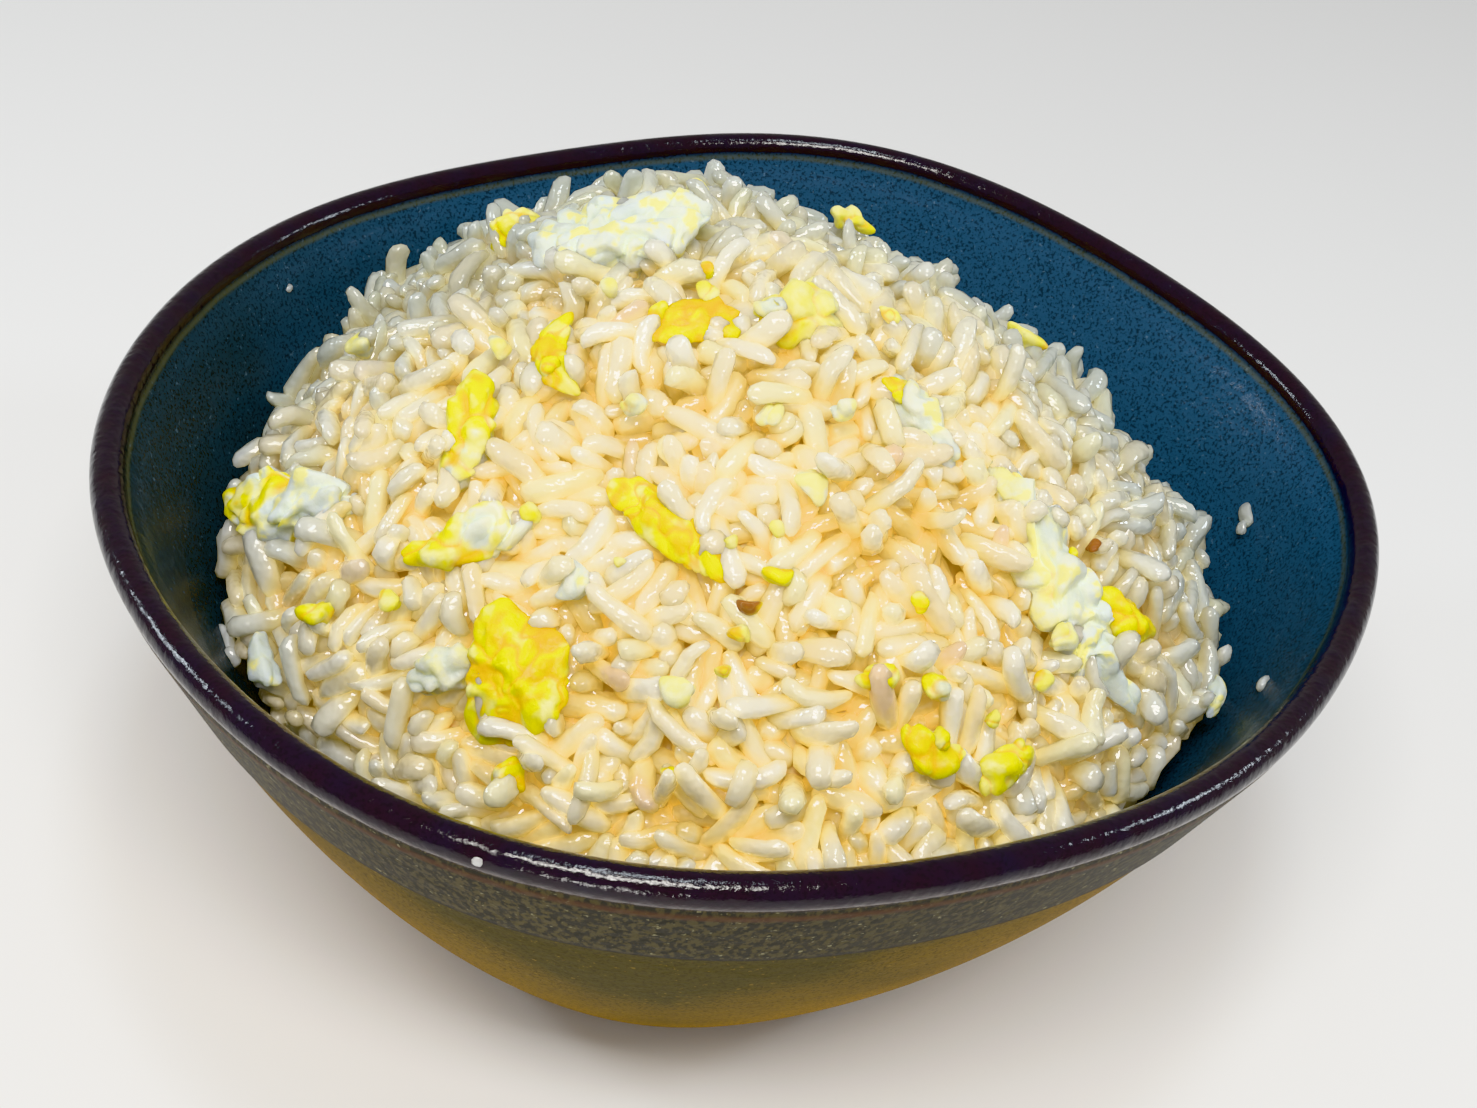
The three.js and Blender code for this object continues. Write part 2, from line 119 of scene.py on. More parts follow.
# Small bits of egg: place, length, width, heading and share of yolk, which is 2 for a scorched bit.
EGG_CRUMBS = (
    ((-68, 27), (4.4, 2.9), 5, 0.7), ((-60, 25), (3.9, 3.3), -16, 0.62), ((-81, 38), (4.2, 2.4), 8, 0.75),
    ((-110, 31), (5.7, 3.6), 85, 0.1), ((20, 45), (5.4, 3.2), 60, 0.5), ((131, 70), (3.6, 3.0), 30, 0.35),
    ((-118, 55), (3.0, 2.2), 16, 0.3), ((-66, 59), (3.2, 2.1), 6, 0.25), ((-138, 13), (4.2, 3.0), 54, 0.6),
    ((-141, 5), (7.6, 3.0), -27, 0.05), ((-178, 27), (4.6, 2.8), 26, 0.3), ((75, 48), (6.0, 4.2), 40, 0.45),
    ((110, 30), (5.2, 3.4), -30, 0.2), ((-108, 10), (4.4, 3.4), -48, 0.7), ((40, 25), (4.8, 3.6), 75, 0.3),
    ((-92, 24), (4.4, 3.2), 10, 0.3), ((-86, 75), (3.8, 2.3), 0, 0.3), ((-16, 6), (5.9, 2.0), 30, 0.15),
    ((-23, 30), (2.0, 1.2), 20, 2.0), ((-85, 34), (2.8, 1.3), 0, 2.0),
)
# Stray bits of rice on the bowl: place, the wall's way out, and size.
STRAY_BITS = (
    ((67.2, 22.9, 49.6), (-0.86, -0.29, 0.42), (3.6, 2.2, 1.3)),
    ((66.6, 20.7, 48.9), (-0.86, -0.27, 0.42), (2.0, 1.6, 1.1)),
    ((-67.9, 25.0, 56.9), (0.85, -0.36, 0.39), (1.2, 0.8, 0.7)),
    ((-19.5, -78.4, 66.7), (-0.19, -0.95, 0.23), (1.5, 1.1, 0.9)),
    ((-59.2, -28.9, 41.2), (0.80, 0.40, 0.44), (4.2, 2.2, 1.6)),
    ((-57.6, -32.0, 41.6), (0.79, 0.42, 0.45), (2.6, 1.8, 1.4)),
    ((65.1, -14.4, 51.2), (-0.85, 0.36, 0.38), (2.8, 1.6, 1.2)),
    ((62.9, -7.6, 41.4), (-0.87, 0.26, 0.43), (2.2, 1.5, 1.2)),
)

# How grains are drawn: shares of all grains, ranges as shares of a whole grain's length or width, scatters
# in radians, spots tried for each grain, the lowest spot in degrees, and the ripple of a grain in mm.
STEEP_SHARE = 0.34
LOOSE_SHARE = 0.2
WHOLE_SHARE = 0.76
WHOLE_LENGTHS = (0.72, 1.1)
BROKEN_LENGTHS = (0.32, 0.7)
WIDTHS = (0.84, 1.16)
WHOLE_FROM = 0.75
ROUND_END = 0.42
TURN_SCATTER = 1.1
TILT_SCATTER = 0.42
STEEP_SCATTER = 0.9
TRIES_EACH = 12
LOWEST_SPOT = -8
RIPPLE = 0.13

# How they lie, in millimetres over the heap's skin; the fall is for each radian under the heap's edge.
PILE_DEPTH = 6.5
EDGE_FALL = 60.0
STAND = (-1.2, 0.8)
STEEP_STAND = (0.0, 1.6)
DEEP_FROM = 4.5
LYING_LIFT = (1.0, 2.8)
POKING_LIFT = (2.0, 6.0)
HIGHEST_STAND = 6.2
CORE_DEPTH = 5.6

# Where the rice took up most oil and soy and where a painted pool of warm front light is brightest, and from
# where to where both fade.
SOY_AND_LIGHT_CENTRE = (-2.0, -34.0, 70.0)
SOY_AND_LIGHT_REACH = (20.0, 74.0)

# How they settle: rounds, rounds between searches for neighbours, how near two grains may come as a
# share of both widths, how much of a push, of a way back to the skin and of a way up from below is made in
# one round, how far all sink in one, and how far they keep off the wall.
SETTLE_ROUNDS = 140
SEARCH_EVERY = 12
SEARCH_REACH = 1.12
NEAREST = 0.34
PUSH_SHARE = 0.42
BACK_SHARE = 0.7
UP_SHARE = 0.5
SINK = 0.03
WALL_GAP = 0.5
SHAPES_EACH = 24
GRAIN_SIDES = 8

# Lamps: name, power setting, colour, place, width and depth, in metres.
LAMPS = (
    ("top_light", "top", (0.84, 0.93, 1.0), (0.0, -0.06, 0.76), 0.13, 0.13),
    ("front_light", "key", (1.0, 0.97, 0.92), (-0.02, -0.30, 0.55), 0.36, 0.10),
    ("left_light", "fill", (0.80, 0.90, 1.0), (-0.62, 0.05, 0.36), 0.10, 0.10),
    ("right_light", "fill", (0.80, 0.90, 1.0), (0.60, 0.12, 0.40), 0.10, 0.10),
    ("low_light", "low", (1.0, 0.98, 0.95), (-0.03, -0.72, 0.13), 0.14, 0.10),
)
LAMP_AIM = (0.0, 0.0, 0.06)
ROOM_COLOUR = (1.0, 0.98, 0.95, 1.0)
ROOM_LIGHT = 0.42
GAMMA = 1.18
FLOOR_SIZE = 3.0

# The camera: degrees, millimetres, and its lens in pixels of a view of this width.
CAMERA_ELEVATION = 38.46
CAMERA_ROLL = 10.266
CAMERA_DISTANCE = 249.6
CAMERA_TARGET = np.array([0.316, 0.0, 44.73])
LENS_PIXELS = 1909.55
VIEW_WIDTH = 1477.0
SENSOR = 36.0


def srgb(red, green, blue):
    """A colour given as it looks on a screen, from 0 to 255, as the light that the shaders take."""
    shares = (red / 255, green / 255, blue / 255)
    return tuple(c / 12.92 if c <= 0.04045 else ((c + 0.055) / 1.055) ** 2.4 for c in shares)


def length_setting(name, description, millimetres):
    looks = {"unit": "LENGTH", "precision": 4}
    return FloatProperty(name=name, description=description, default=millimetres * MM, **looks)


def colour_setting(name, description, *rgb):
    looks = {"subtype": "COLOR", "size": 3, "min": 0.0, "max": 1.0}
    return FloatVectorProperty(name=name, description=description, default=srgb(*rgb), **looks)


def power_setting(name, description, watts):
    return FloatProperty(name=name, description=description, default=watts, unit="POWER")


# ------------------------------------------------------------------ settings


class BowlSettings(bpy.types.PropertyGroup):
    rim_radius: length_setting("Rim radius", "Mean radius to the outermost line of the lip", 78.0)
    rim_height: length_setting("Rim height", "Mean height of the lip's crest", 65.5)
    lip_radius: length_setting("Lip radius", "Radius of the round lip", 1.9)
    wall: length_setting("Wall", "Thickness of the wall, measured level", 4.2)
    band: length_setting("Band depth", "Depth of the dark glaze band under the lip", 14.0)
    glaze_blue: colour_setting("Inner glaze", "Petrol blue glaze of the inside", 44, 74, 104)
    glaze_slate: colour_setting("Inner glaze, thin", "Slate where the inner glaze breaks", 32, 50, 64)
    lip_plum: colour_setting("Lip", "Dark plum glaze of the lip", 24, 10, 20)
    band_grey: colour_setting("Band", "Olive grey of the outer band", 68, 60, 30)
    body_olive: colour_setting("Body", "Olive brown of the outer wall", 68, 60, 20)
    # The golden ochre is partly the glaze's own colour and partly a painted reflection of a wooden table.
    body_ochre_and_reflection: colour_setting("Body, low", "Golden ochre towards the foot", 158, 116, 0)
    clay: colour_setting("Clay", "Bare clay of the foot", 150, 120, 88)


class HeapSettings(bpy.types.PropertyGroup):
    radius: length_setting("Heap radius", "Level radius of the heap at its centre plane", 66.7)
    rise: length_setting("Heap rise", "Height of the crown over the heap's centre plane", 49.8)
    grain_length: length_setting("Grain length", "Length of a whole cooked grain", 8.9)
    grain_width: length_setting("Grain width", "Width of a whole cooked grain", 2.7)
    grains: IntProperty(name="Grains", description="How many grains the skin takes", default=3900, min=1)
    seed: IntProperty(name="Seed", description="Start of the random draws", default=11)
    # In the middle of the heap the grains are painted in a warm pool of front light as well as oiled; towards
    # its edges they are painted cooler and darker, out of that light.
    grain_oiled_and_lit: colour_setting("Grain, oiled", "Grains in the middle of the heap", 226, 212, 172)
    grain_plain_and_shaded: colour_setting("Grain, plain", "Grains towards the edges", 182, 187, 180)
    # The colour of the gaps is oil and soy together with painted shade, warmed by light bounced through the
    # grains.
    sauce_and_gap_shade: colour_setting("Gaps", "Oil and soy between the grains", 210, 178, 98)


class EggSettings(bpy.types.PropertyGroup):
    # The egg white takes this colour only in the painted pool of front light; away from it it is painted
    # bluish grey.
    white: colour_setting("Egg white", "Set egg white", 222, 220, 194)
    pale: colour_setting("Pale yolk", "Egg white and yolk stirred together", 232, 224, 116)
    yellow: colour_setting("Yolk", "Bright yellow of the yolk", 224, 216, 0)
    deep: colour_setting("Deep yolk", "Yolk where it is thickest", 232, 184, 4)
    scorched: colour_setting("Scorched", "Brown of the scorched bits", 150, 92, 44)


class StageSettings(bpy.types.PropertyGroup):
    floor: colour_setting("Floor", "Plain pale floor", 234, 234, 234)
    top: power_setting("Top light", "Power of the broad light overhead", 0.75)
    key: power_setting("Front light", "Power of the wide light over the front", 2.35)
    fill: power_setting("Side lights", "Power of each cool light at the sides", 0.66)
    low: power_setting("Low light", "Power of the small light before the dish", 0.7)


# ------------------------------------------------------------------ shader maths


def worked(operation, other_first=False):
    """A method of Wire that works the wire out with another wire or a number."""

    def method(self, other):
        return self.maths(operation, *((other, self) if other_first else (self, other)))

    return method


class Wire:
    """One output of a shader node, or a plain number, that can be worked with like a number."""

    def __init__(self, shader, socket):
        self.shader = shader
        self.socket = socket

    def maths(self, operation, *values):
        settings = {"operation": operation}
        return self.shader.add("ShaderNodeMath", settings, dict(enumerate(values)))

    __add__, __radd__ = worked("ADD"), worked("ADD", True)
    __sub__, __rsub__ = worked("SUBTRACT"), worked("SUBTRACT", True)
    __mul__, __rmul__ = worked("MULTIPLY"), worked("MULTIPLY", True)
    __truediv__, __rtruediv__ = worked("DIVIDE"), worked("DIVIDE", True)

    def __abs__(self):
        return self.maths("ABSOLUTE", self)

    def clamped(self):
        return self.maths("MINIMUM", self.maths("MAXIMUM", self, 0.0), 1.0)

    def line(self, middle, full, none):
        """1 within `full` of the middle value, 0 beyond `none`."""
        return 1.0 - abs(self - middle).step(full, none)

    def step(self, low, high):
        """0 below low, 1 above high, and smooth between."""
        settings = {"interpolation_type": "SMOOTHSTEP"}
        return self.shader.add("ShaderNodeMapRange", settings, {0: self, 1: low, 2: high, 3: 0.0, 4: 1.0})


class Shader:
    """A material with one Principled surface."""

    def __init__(self, name):
        self.material = bpy.data.materials.new(name)
        self.material.use_nodes = True
        self.tree = self.material.node_tree
        self.surface = next(n for n in self.tree.nodes if n.type == "BSDF_PRINCIPLED")

    def set(self, socket, value):
        if isinstance(value, Wire):
            self.tree.links.new(value.socket, socket)
        elif hasattr(socket.default_value, "__len__") and len(value) == 3 and len(socket.default_value) == 4:
            socket.default_value = (*value, 1.0)
        else:
            socket.default_value = value

    def add(self, kind, settings=None, inputs=None, output=0):
        """Adds a node of any kind: its settings first, then the values or links of its sockets."""
        node = self.tree.nodes.new(kind)
        for name, value in (settings or {}).items():
            setattr(node, name, value)
        for key, value in (inputs or {}).items():
            self.set(node.inputs[key], value)
        return Wire(self, node.outputs[output])

    def finish(self, **inputs):
        for name, value in inputs.items():
            self.set(self.surface.inputs[name.replace("_", " ")], value)
        return self.material

    def lay_over(self, share, **inputs):
        """Lays a second Principled surface over the first one by a share."""
        named = {name.replace("_", " "): value for name, value in inputs.items()}
        second = self.add("ShaderNodeBsdfPrincipled", None, named)
        first = Wire(self, self.surface.outputs[0])
        mix = self.add("ShaderNodeMixShader", None, {0: share, 1: first, 2: second})
        output = next(n for n in self.tree.nodes if n.type == "OUTPUT_MATERIAL")
        self.set(output.inputs["Surface"], mix)

    def place(self):
        return self.add("ShaderNodeTexCoord", output="Object")

    def attribute(self, name):
        return self.add("ShaderNodeAttribute", {"attribute_name": name}, output="Fac")

    def mixed(self, share, first, second):
        """A mix of two colours."""
        settings = {"data_type": "RGBA", "clamp_factor": True}
        return self.add("ShaderNodeMix", settings, {0: share, 6: first, 7: second}, 2)

    def coated(self, colour, *coats):
        """A colour with others laid over it in turn, each given after its share."""
        for share, coat in coats:
            colour = self.mixed(share, colour, coat)
        return colour

    def noise(self, pitch_mm, detail=2.0, roughness=0.5, place=None):
        inputs = {"Vector": place or self.place(), "Scale": 1.0 / (pitch_mm * MM)}
        inputs.update(Detail=detail, Roughness=roughness)
        return self.add("ShaderNodeTexNoise", {"normalize": True}, inputs)

    def axis(self, name):
        return self.add("ShaderNodeSeparateXYZ", None, {0: self.place()}, name)

    def distance_from(self, point_mm):
        inputs = {0: self.place(), 1: tuple(c * MM for c in point_mm)}
        return self.add("ShaderNodeVectorMath", {"operation": "DISTANCE"}, inputs, "Value")

    def bump(self, height, depth_mm, strength=1.0):
        inputs = {"Height": height, "Distance": depth_mm * MM, "Strength": strength}
        return self.add("ShaderNodeBump", None, inputs)


# ------------------------------------------------------------------ forms


def unit(ways):
    """The same ways, one long."""
    return ways / np.linalg.norm(ways, axis=-1, keepdims=True)


def wave(waves, angle):
    return sum(c * np.cos(turns * angle) + s * np.sin(turns * angle) for turns, c, s in waves)


class BowlForm:
    """The bowl's profile and waves in millimetres, worked out from its settings."""

    def __init__(self, settings):
        self.rim = settings.rim_radius / MM
        self.height = settings.rim_height / MM
        self.lip = settings.lip_radius / MM
        self.wall = settings.wall / MM
        self.band = settings.band / MM

    def inset(self, depth):
        under = np.maximum(0.0, depth - self.band)
        return WALL_SLOPE * depth + BODY_CURVE * under * under

    def depth_of(self, z):
        return self.height - self.lip - z

    def share(self, z):
        return np.clip(self.depth_of(z) / (self.height - 4.0), 0.0, 1.0)

    def inner_radius(self, angle, z):
        """Radius of the inside of the wall at an angle and height, with the rim's waves."""
        depth = np.maximum(0.0, self.depth_of(z))
        sway = (1.0 - (1.0 - PLAN_WAVE_AT_FOOT) * self.share(z)) * wave(RIM_PLAN_WAVES, angle)
        return self.rim - self.inset(depth) - self.wall + sway

    def profile(self):
        """Half section from the middle of the underside, over the lip, to the middle of the floor."""
        foot = FOOT_RADIUS - FOOT_WIDTH
        wall_bottom = self.height - self.lip - WALL_FOOT
        points = [(0.0, FOOT_RECESS), (foot - 1.0, FOOT_RECESS), (foot - 0.3, FOOT_RECESS - 0.5)]
        points += [(foot, 0.3), (foot + 0.4, 0.0), (FOOT_RADIUS - 0.4, 0.0), (FOOT_RADIUS, 0.3)]
        points += [(FOOT_RADIUS + 0.6, WALL_FOOT - 1.0), (FOOT_RADIUS + 2.2, WALL_FOOT - 0.4)]
        for depth in np.linspace(wall_bottom, self.band + 0.6, 26):
            points.append((self.rim - self.inset(depth), self.depth_of(depth)))
        for depth in np.linspace(self.band, 2.2, 10):
            points.append((self.rim - self.inset(depth) + BAND_STEP, self.depth_of(depth)))
        middle = (self.rim - self.lip, self.height - self.lip)
        for turn in np.radians(np.linspace(*LIP_TURN, 24)):
            points.append((middle[0] + self.lip * math.cos(turn), middle[1] + self.lip * math.sin(turn)))
        for depth in np.linspace(*INNER_DEPTHS, 26):
            points.append((self.rim - self.inset(depth) - self.wall, self.depth_of(depth)))
        points += [FLOOR_EDGE, (FLOOR_EDGE[0] * 0.6, FLOOR_HEIGHT + 0.5), (0.0, FLOOR_HEIGHT)]
        return points

    def waved(self, x, y, z):
        """A turned point, moved by the rim's waves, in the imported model's frame."""
        radius = math.hypot(x, y)
        angle = math.atan2(y, x)
        share = float(self.share(z))
        sway = 1.0 - (1.0 - PLAN_WAVE_AT_FOOT) * share
        on_foot = z < WALL_FOOT and radius < FOOT_RADIUS + 3.0
        on_floor = z < FLOOR_EDGE[1] + 0.1 and radius < FLOOR_EDGE[0] + 0.1
        if on_foot or on_floor:
            sway = 0.0 if on_foot else PLAN_WAVE_AT_FOOT * radius / FLOOR_EDGE[0]
        reach = radius + sway * wave(RIM_PLAN_WAVES, angle)
        rise = 0.0 if on_foot or on_floor else (1.0 - share) * wave(RIM_HEIGHT_WAVES, angle)
        return np.array([reach * math.cos(angle), reach * math.sin(angle), z + rise]) + FOOT_OFF_CENTRE


class HeapForm:
    """The heap's outer skin in millimetres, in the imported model's frame."""

    def __init__(self, settings):
        self.radius = settings.radius / MM
        self.rise = settings.rise / MM
        self.centre = HEAP_CENTRE + FOOT_OFF_CENTRE

    def reach(self, azimuth, elevation):
        level = np.cos(elevation)
        rise = np.maximum(np.sin(elevation), 0.0)
        plain = (level / self.radius) ** HEAP_SHOULDER + (rise / self.rise) ** HEAP_SHOULDER
        sway = 1.0 + wave(HEAP_WAVES, azimuth) / self.radius * level ** 0.6
        return plain ** (-1.0 / HEAP_SHOULDER) * sway

    def point(self, azimuth, elevation, lift=0.0):
        reach = self.reach(azimuth, elevation) + lift
        level = np.cos(elevation)
        ways = np.stack([level * np.cos(azimuth), level * np.sin(azimuth), np.sin(elevation)], -1)
        return self.centre + ways * np.asarray(reach)[..., None]

    def angles(self, points):
        away = points - self.centre
        level = np.hypot(away[..., 0], away[..., 1])
        return np.arctan2(away[..., 1], away[..., 0]), np.arctan2(away[..., 2], level)

    def away(self, points):
        """The ways from the heap's centre to points, level for the points under its centre plane."""
        away = points - self.centre
        away[..., 2] = np.maximum(away[..., 2], 0.0)
        return away

    def over(self, points):
        """How far points stand over the skin, along the line from the heap's centre."""
        away = self.away(points)
        azimuth, elevation = self.angles(self.centre + away)
        return np.linalg.norm(away, axis=-1) - self.reach(azimuth, elevation)

    def lumps(self, points):
        """How far the loose grains stand over or under the plain skin, in soft clumps."""
        x, y, z = points.T
        clumps = np.sin(x * 0.42 + 1.3) * np.cos(y * 0.38 + 0.4) + 0.8 * np.sin(z * 0.45 + x * 0.2)
        return 1.8 * clumps + 0.6 * np.sin(y * 0.8 + z * 0.5) * np.cos(x * 0.75)

    def frame_at(self, azimuth, elevation):
        """Ways east, north and out of the skin."""
        step = 0.01
        high = np.minimum(elevation, math.pi / 2 - 2 * step)
        east = self.point(azimuth + step, high) - self.point(azimuth - step, high)
        north = self.point(azimuth, high + step) - self.point(azimuth, high - step)
        east = unit(east)
        out = unit(np.cross(east, north))
        return east, np.cross(out, east), out


# ------------------------------------------------------------------ meshes


def new_piece(name, mesh_maker, material, slot_name, *replaced):
    """A smooth-shaded piece from a bmesh in millimetres, riding on the dish."""
    mesh = bpy.data.meshes.new(name)
    mesh_maker.transform(Matrix.Scale(MM, 4))
    mesh_maker.to_mesh(mesh)
    mesh_maker.free()
    return placed_piece(name, mesh, material, slot_name, *replaced)


def linked(name, data):
    """A new object in the scene."""
    holder = bpy.data.objects.new(name, data)
    bpy.context.scene.collection.objects.link(holder)
    return holder


def placed_piece(name, mesh, material, slot_name, *replaced):
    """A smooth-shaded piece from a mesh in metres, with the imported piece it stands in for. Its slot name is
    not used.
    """
    mesh.polygons.foreach_set("use_smooth", np.ones(len(mesh.polygons), bool))
    mesh.materials.append(material)
    piece = linked(name, mesh)
    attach(piece, BODY)
    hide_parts(*replaced)
    return piece


def write_values(mesh, name, values):
    layer = mesh.attributes.new(name, "FLOAT", "POINT")
    layer.data.foreach_set("value", np.asarray(values, np.float32))


def joined_copies(shapes, faces, places, turns, chosen):
    """One mesh from many copies: every copy takes its chosen shape, is turned and then placed."""
    count = shapes.shape[1]
    points = np.einsum("nij,nkj->nki", turns, shapes[chosen]) + places[:, None, :]
    points += RIPPLE * np.sin(points[..., [1, 2, 0]] * 1.9 + 0.7) * np.cos(points[..., [2, 0, 1]] * 1.5)
    mesh = bpy.data.meshes.new("copies")
    mesh.vertices.add(len(places) * count)
    mesh.vertices.foreach_set("co", (points * MM).astype(np.float32).ravel())
    corners = (faces[None] + (np.arange(len(places)) * count)[:, None, None]).reshape(-1, 3)
    mesh.loops.add(corners.size)
    mesh.loops.foreach_set("vertex_index", corners.ravel().astype(np.int32))
    mesh.polygons.add(len(corners))
    mesh.polygons.foreach_set("loop_start", np.arange(0, corners.size, 3, dtype=np.int32))
    mesh.update(calc_edges=True)
    mesh.validate()
    return mesh, points.reshape(-1, 3)


def triangles_of(maker):
    bmesh.ops.triangulate(maker, faces=maker.faces)
    maker.verts.ensure_lookup_table()
    points = np.array([vert.co for vert in maker.verts])
    faces = np.array([[vert.index for vert in face.verts] for face in maker.faces])
    maker.free()
    return points, faces


def grain_shapes(count, rings, random):
    """Cooked grains of unit half length and half width along X: blunt, bent, dented, some cut aslant."""
    shapes = []
    for _ in range(count):
        maker = bmesh.new()
        bmesh.ops.create_uvsphere(maker, u_segments=GRAIN_SIDES, v_segments=rings, radius=1.0)
        bmesh.ops.rotate(maker, verts=maker.verts, matrix=Matrix.Rotation(math.pi / 2, 3, "Y"))
        blunt = random.uniform(3.5, 9.0, 2)
        lean = random.uniform(-0.2, 0.2)
        bend = random.uniform(0.1, 0.95)
        flat = random.uniform(0.7, 1.0)
        slant = random.uniform(-0.09, 0.09)
        phase = random.uniform(0.0, 50.0)
        crease = random.uniform(0.02, 0.16)
        for vert in maker.verts:
            along, across, up = vert.co
            around = math.hypot(across, up)
            along = math.copysign(min(1.0, abs(along)) ** 0.7, along)
            fullness = (1.0 - abs(along) ** blunt[int(along > 0.0)]) ** 0.5 * (1.0 + lean * along)
            dent = 1.0 + 0.24 * noise.noise(Vector((along * 2.4 + phase, across * 1.2, up * 1.2)))
            dent -= crease * max(0.0, math.cos(math.atan2(up, across) - 1.4)) ** 6
            keep = fullness / around * dent if around > 1e-6 else 0.0
            across, up = across * keep, up * keep * flat
            vert.co = (along + slant * up * along * along, across, up - bend * along * along)
        points, faces = triangles_of(maker)
        shapes.append(points)
    return np.array(shapes), faces


# ------------------------------------------------------------------ the pile


def nearest_on_rods(a0, a1, b0, b1):
    """Shares along two sets of rods at which they are closest."""
    u, v, w = a1 - a0, b1 - b0, a0 - b0
    uu, uv, vv = (u * u).sum(1), (u * v).sum(1), (v * v).sum(1)
    uw, vw = (u * w).sum(1), (v * w).sum(1)
    down = np.maximum(uu * vv - uv * uv, 1e-9)
    s = np.clip((uv * vw - vv * uw) / down, 0.0, 1.0)
    t = np.clip((uv * s + vw) / np.maximum(vv, 1e-9), 0.0, 1.0)
    s = np.clip((uv * t - uw) / np.maximum(uu, 1e-9), 0.0, 1.0)
    return s, t


def near_pairs(centres, reach):
    tree = KDTree(len(centres))
    for index, centre in enumerate(centres):
        tree.insert(centre, index)
    tree.balance()
    pairs = []
    for index, centre in enumerate(centres):
        pairs += [(index, other) for _, other, _ in tree.find_range(centre, reach) if other > index]
    return np.array(pairs)


class Pile:
    """Grains as rods that are pushed apart until they lie on one another."""

    def __init__(self, bowl, heap, settings):
        self.bowl, self.heap = bowl, heap
        self.random = np.random.default_rng(settings.seed)
        self.count = settings.grains
        self.width = settings.grain_width / MM
        self.length = settings.grain_length / MM
        self.draw()

    def draw(self):
        random = self.random
        azimuth, high = self.spots()
        deep = random.uniform(-PILE_DEPTH + 1.0, 0.0, self.count)
        east, north, out = self.heap.frame_at(azimuth, np.maximum(high, 0.0))
        place = self.heap.point(azimuth, np.maximum(high, 0.0), deep)
        place[:, 2] += np.minimum(high, 0.0) * EDGE_FALL
        flow = 2.2 * np.sin(place[:, 0] * 0.11 + 1.0) + 2.2 * np.cos(place[:, 1] * 0.13 + place[:, 2] * 0.07)
        heading = flow + random.normal(0.0, TURN_SCATTER, self.count)
        steep = random.random(self.count) < STEEP_SHARE
        tilt = random.normal(0.0, TILT_SCATTER, self.count)
        tilt = tilt + steep * random.normal(0.0, STEEP_SCATTER, self.count)
        level = np.cos(heading)[:, None] * east + np.sin(heading)[:, None] * north
        way = np.cos(tilt)[:, None] * level + np.sin(tilt)[:, None] * out
        whole = random.random(self.count) < WHOLE_SHARE
        long, short = (random.uniform(*lengths, self.count) for lengths in (WHOLE_LENGTHS, BROKEN_LENGTHS))
        part = np.where(whole, long, short)
        self.lengths = self.length * part
        self.widths = self.width * random.uniform(*WIDTHS, self.count)
        self.half = np.maximum(self.lengths / 2 - self.widths * ROUND_END, 0.1)[:, None]
        self.start, self.end = place - way * self.half, place + way * self.half
        self.stand = random.normal(*STAND, (2, self.count))
        self.stand = self.stand + steep * random.uniform(*STEEP_STAND, (2, self.count))
        loose = random.random(self.count) < LOOSE_SHARE
        lying = random.uniform(*LYING_LIFT, self.count) * loose
        poking = (loose & (random.random(self.count) < 0.5)) * random.uniform(*POKING_LIFT, self.count)
        self.stand += np.stack([lying * 0.7, lying + poking])
        self.stand = np.minimum(self.stand, HIGHEST_STAND)
        self.start += (lying * 1.5 - poking * 0.3)[:, None] * out
        self.end += (lying * 2.0 + poking * 1.2)[:, None] * out

    def spots(self):
        """Places spread evenly over the skin of the heap, down to where the bowl hides it."""
        random = self.random
        tries = self.count * TRIES_EACH
        azimuth = random.uniform(-math.pi, math.pi, tries)
        high = random.uniform(math.radians(LOWEST_SPOT), math.pi / 2 - 0.02, tries)
        step = 0.01
        up = np.maximum(high, 0.0)
        east = self.heap.point(azimuth + step, up) - self.heap.point(azimuth - step, up)
        north = self.heap.point(azimuth, up + step) - self.heap.point(azimuth, up)
        area = np.linalg.norm(np.cross(east, north), axis=1)
        area = np.where(high < 0.0, area.mean(), area)
        chosen = random.choice(tries, self.count, replace=False, p=area / area.sum())
        return azimuth[chosen], high[chosen]

    def middles(self):
        return (self.start + self.end) / 2

    def settle(self, rounds, egg_walls):
        """Pushes overlapping grains apart and keeps them in the heap, the bowl and off the egg."""
        for turn in range(rounds):
            if turn % SEARCH_EVERY == 0:
                pairs = near_pairs(self.middles(), self.length * SEARCH_REACH)
            first, second = pairs[:, 0], pairs[:, 1]
            a0, a1, b0, b1 = self.start[first], self.end[first], self.start[second], self.end[second]
            s, t = nearest_on_rods(a0, a1, b0, b1)
            gap = (a0 * (1 - s)[:, None] + a1 * s[:, None]) - (b0 * (1 - t)[:, None] + b1 * t[:, None])
            apart = np.linalg.norm(gap, axis=1)
            need = (self.widths[first] + self.widths[second]) * NEAREST - apart
            hit = need > 0
            push = gap[hit] / np.maximum(apart[hit], 1e-6)[:, None] * (need[hit] * PUSH_SHARE)[:, None]
            for index, share, sign in ((first[hit], s[hit], 1.0), (second[hit], t[hit], -1.0)):
                np.add.at(self.start, index, sign * push * (1.25 - share)[:, None] * 0.8)
                np.add.at(self.end, index, sign * push * (0.25 + share)[:, None] * 0.8)
            for ends, stand in ((self.start, self.stand[0]), (self.end, self.stand[1])):
                self.hold(ends, stand, egg_walls)
            middle = self.middles()
            reach = unit(self.end - self.start) * self.half
            self.start, self.end = middle - reach, middle + reach

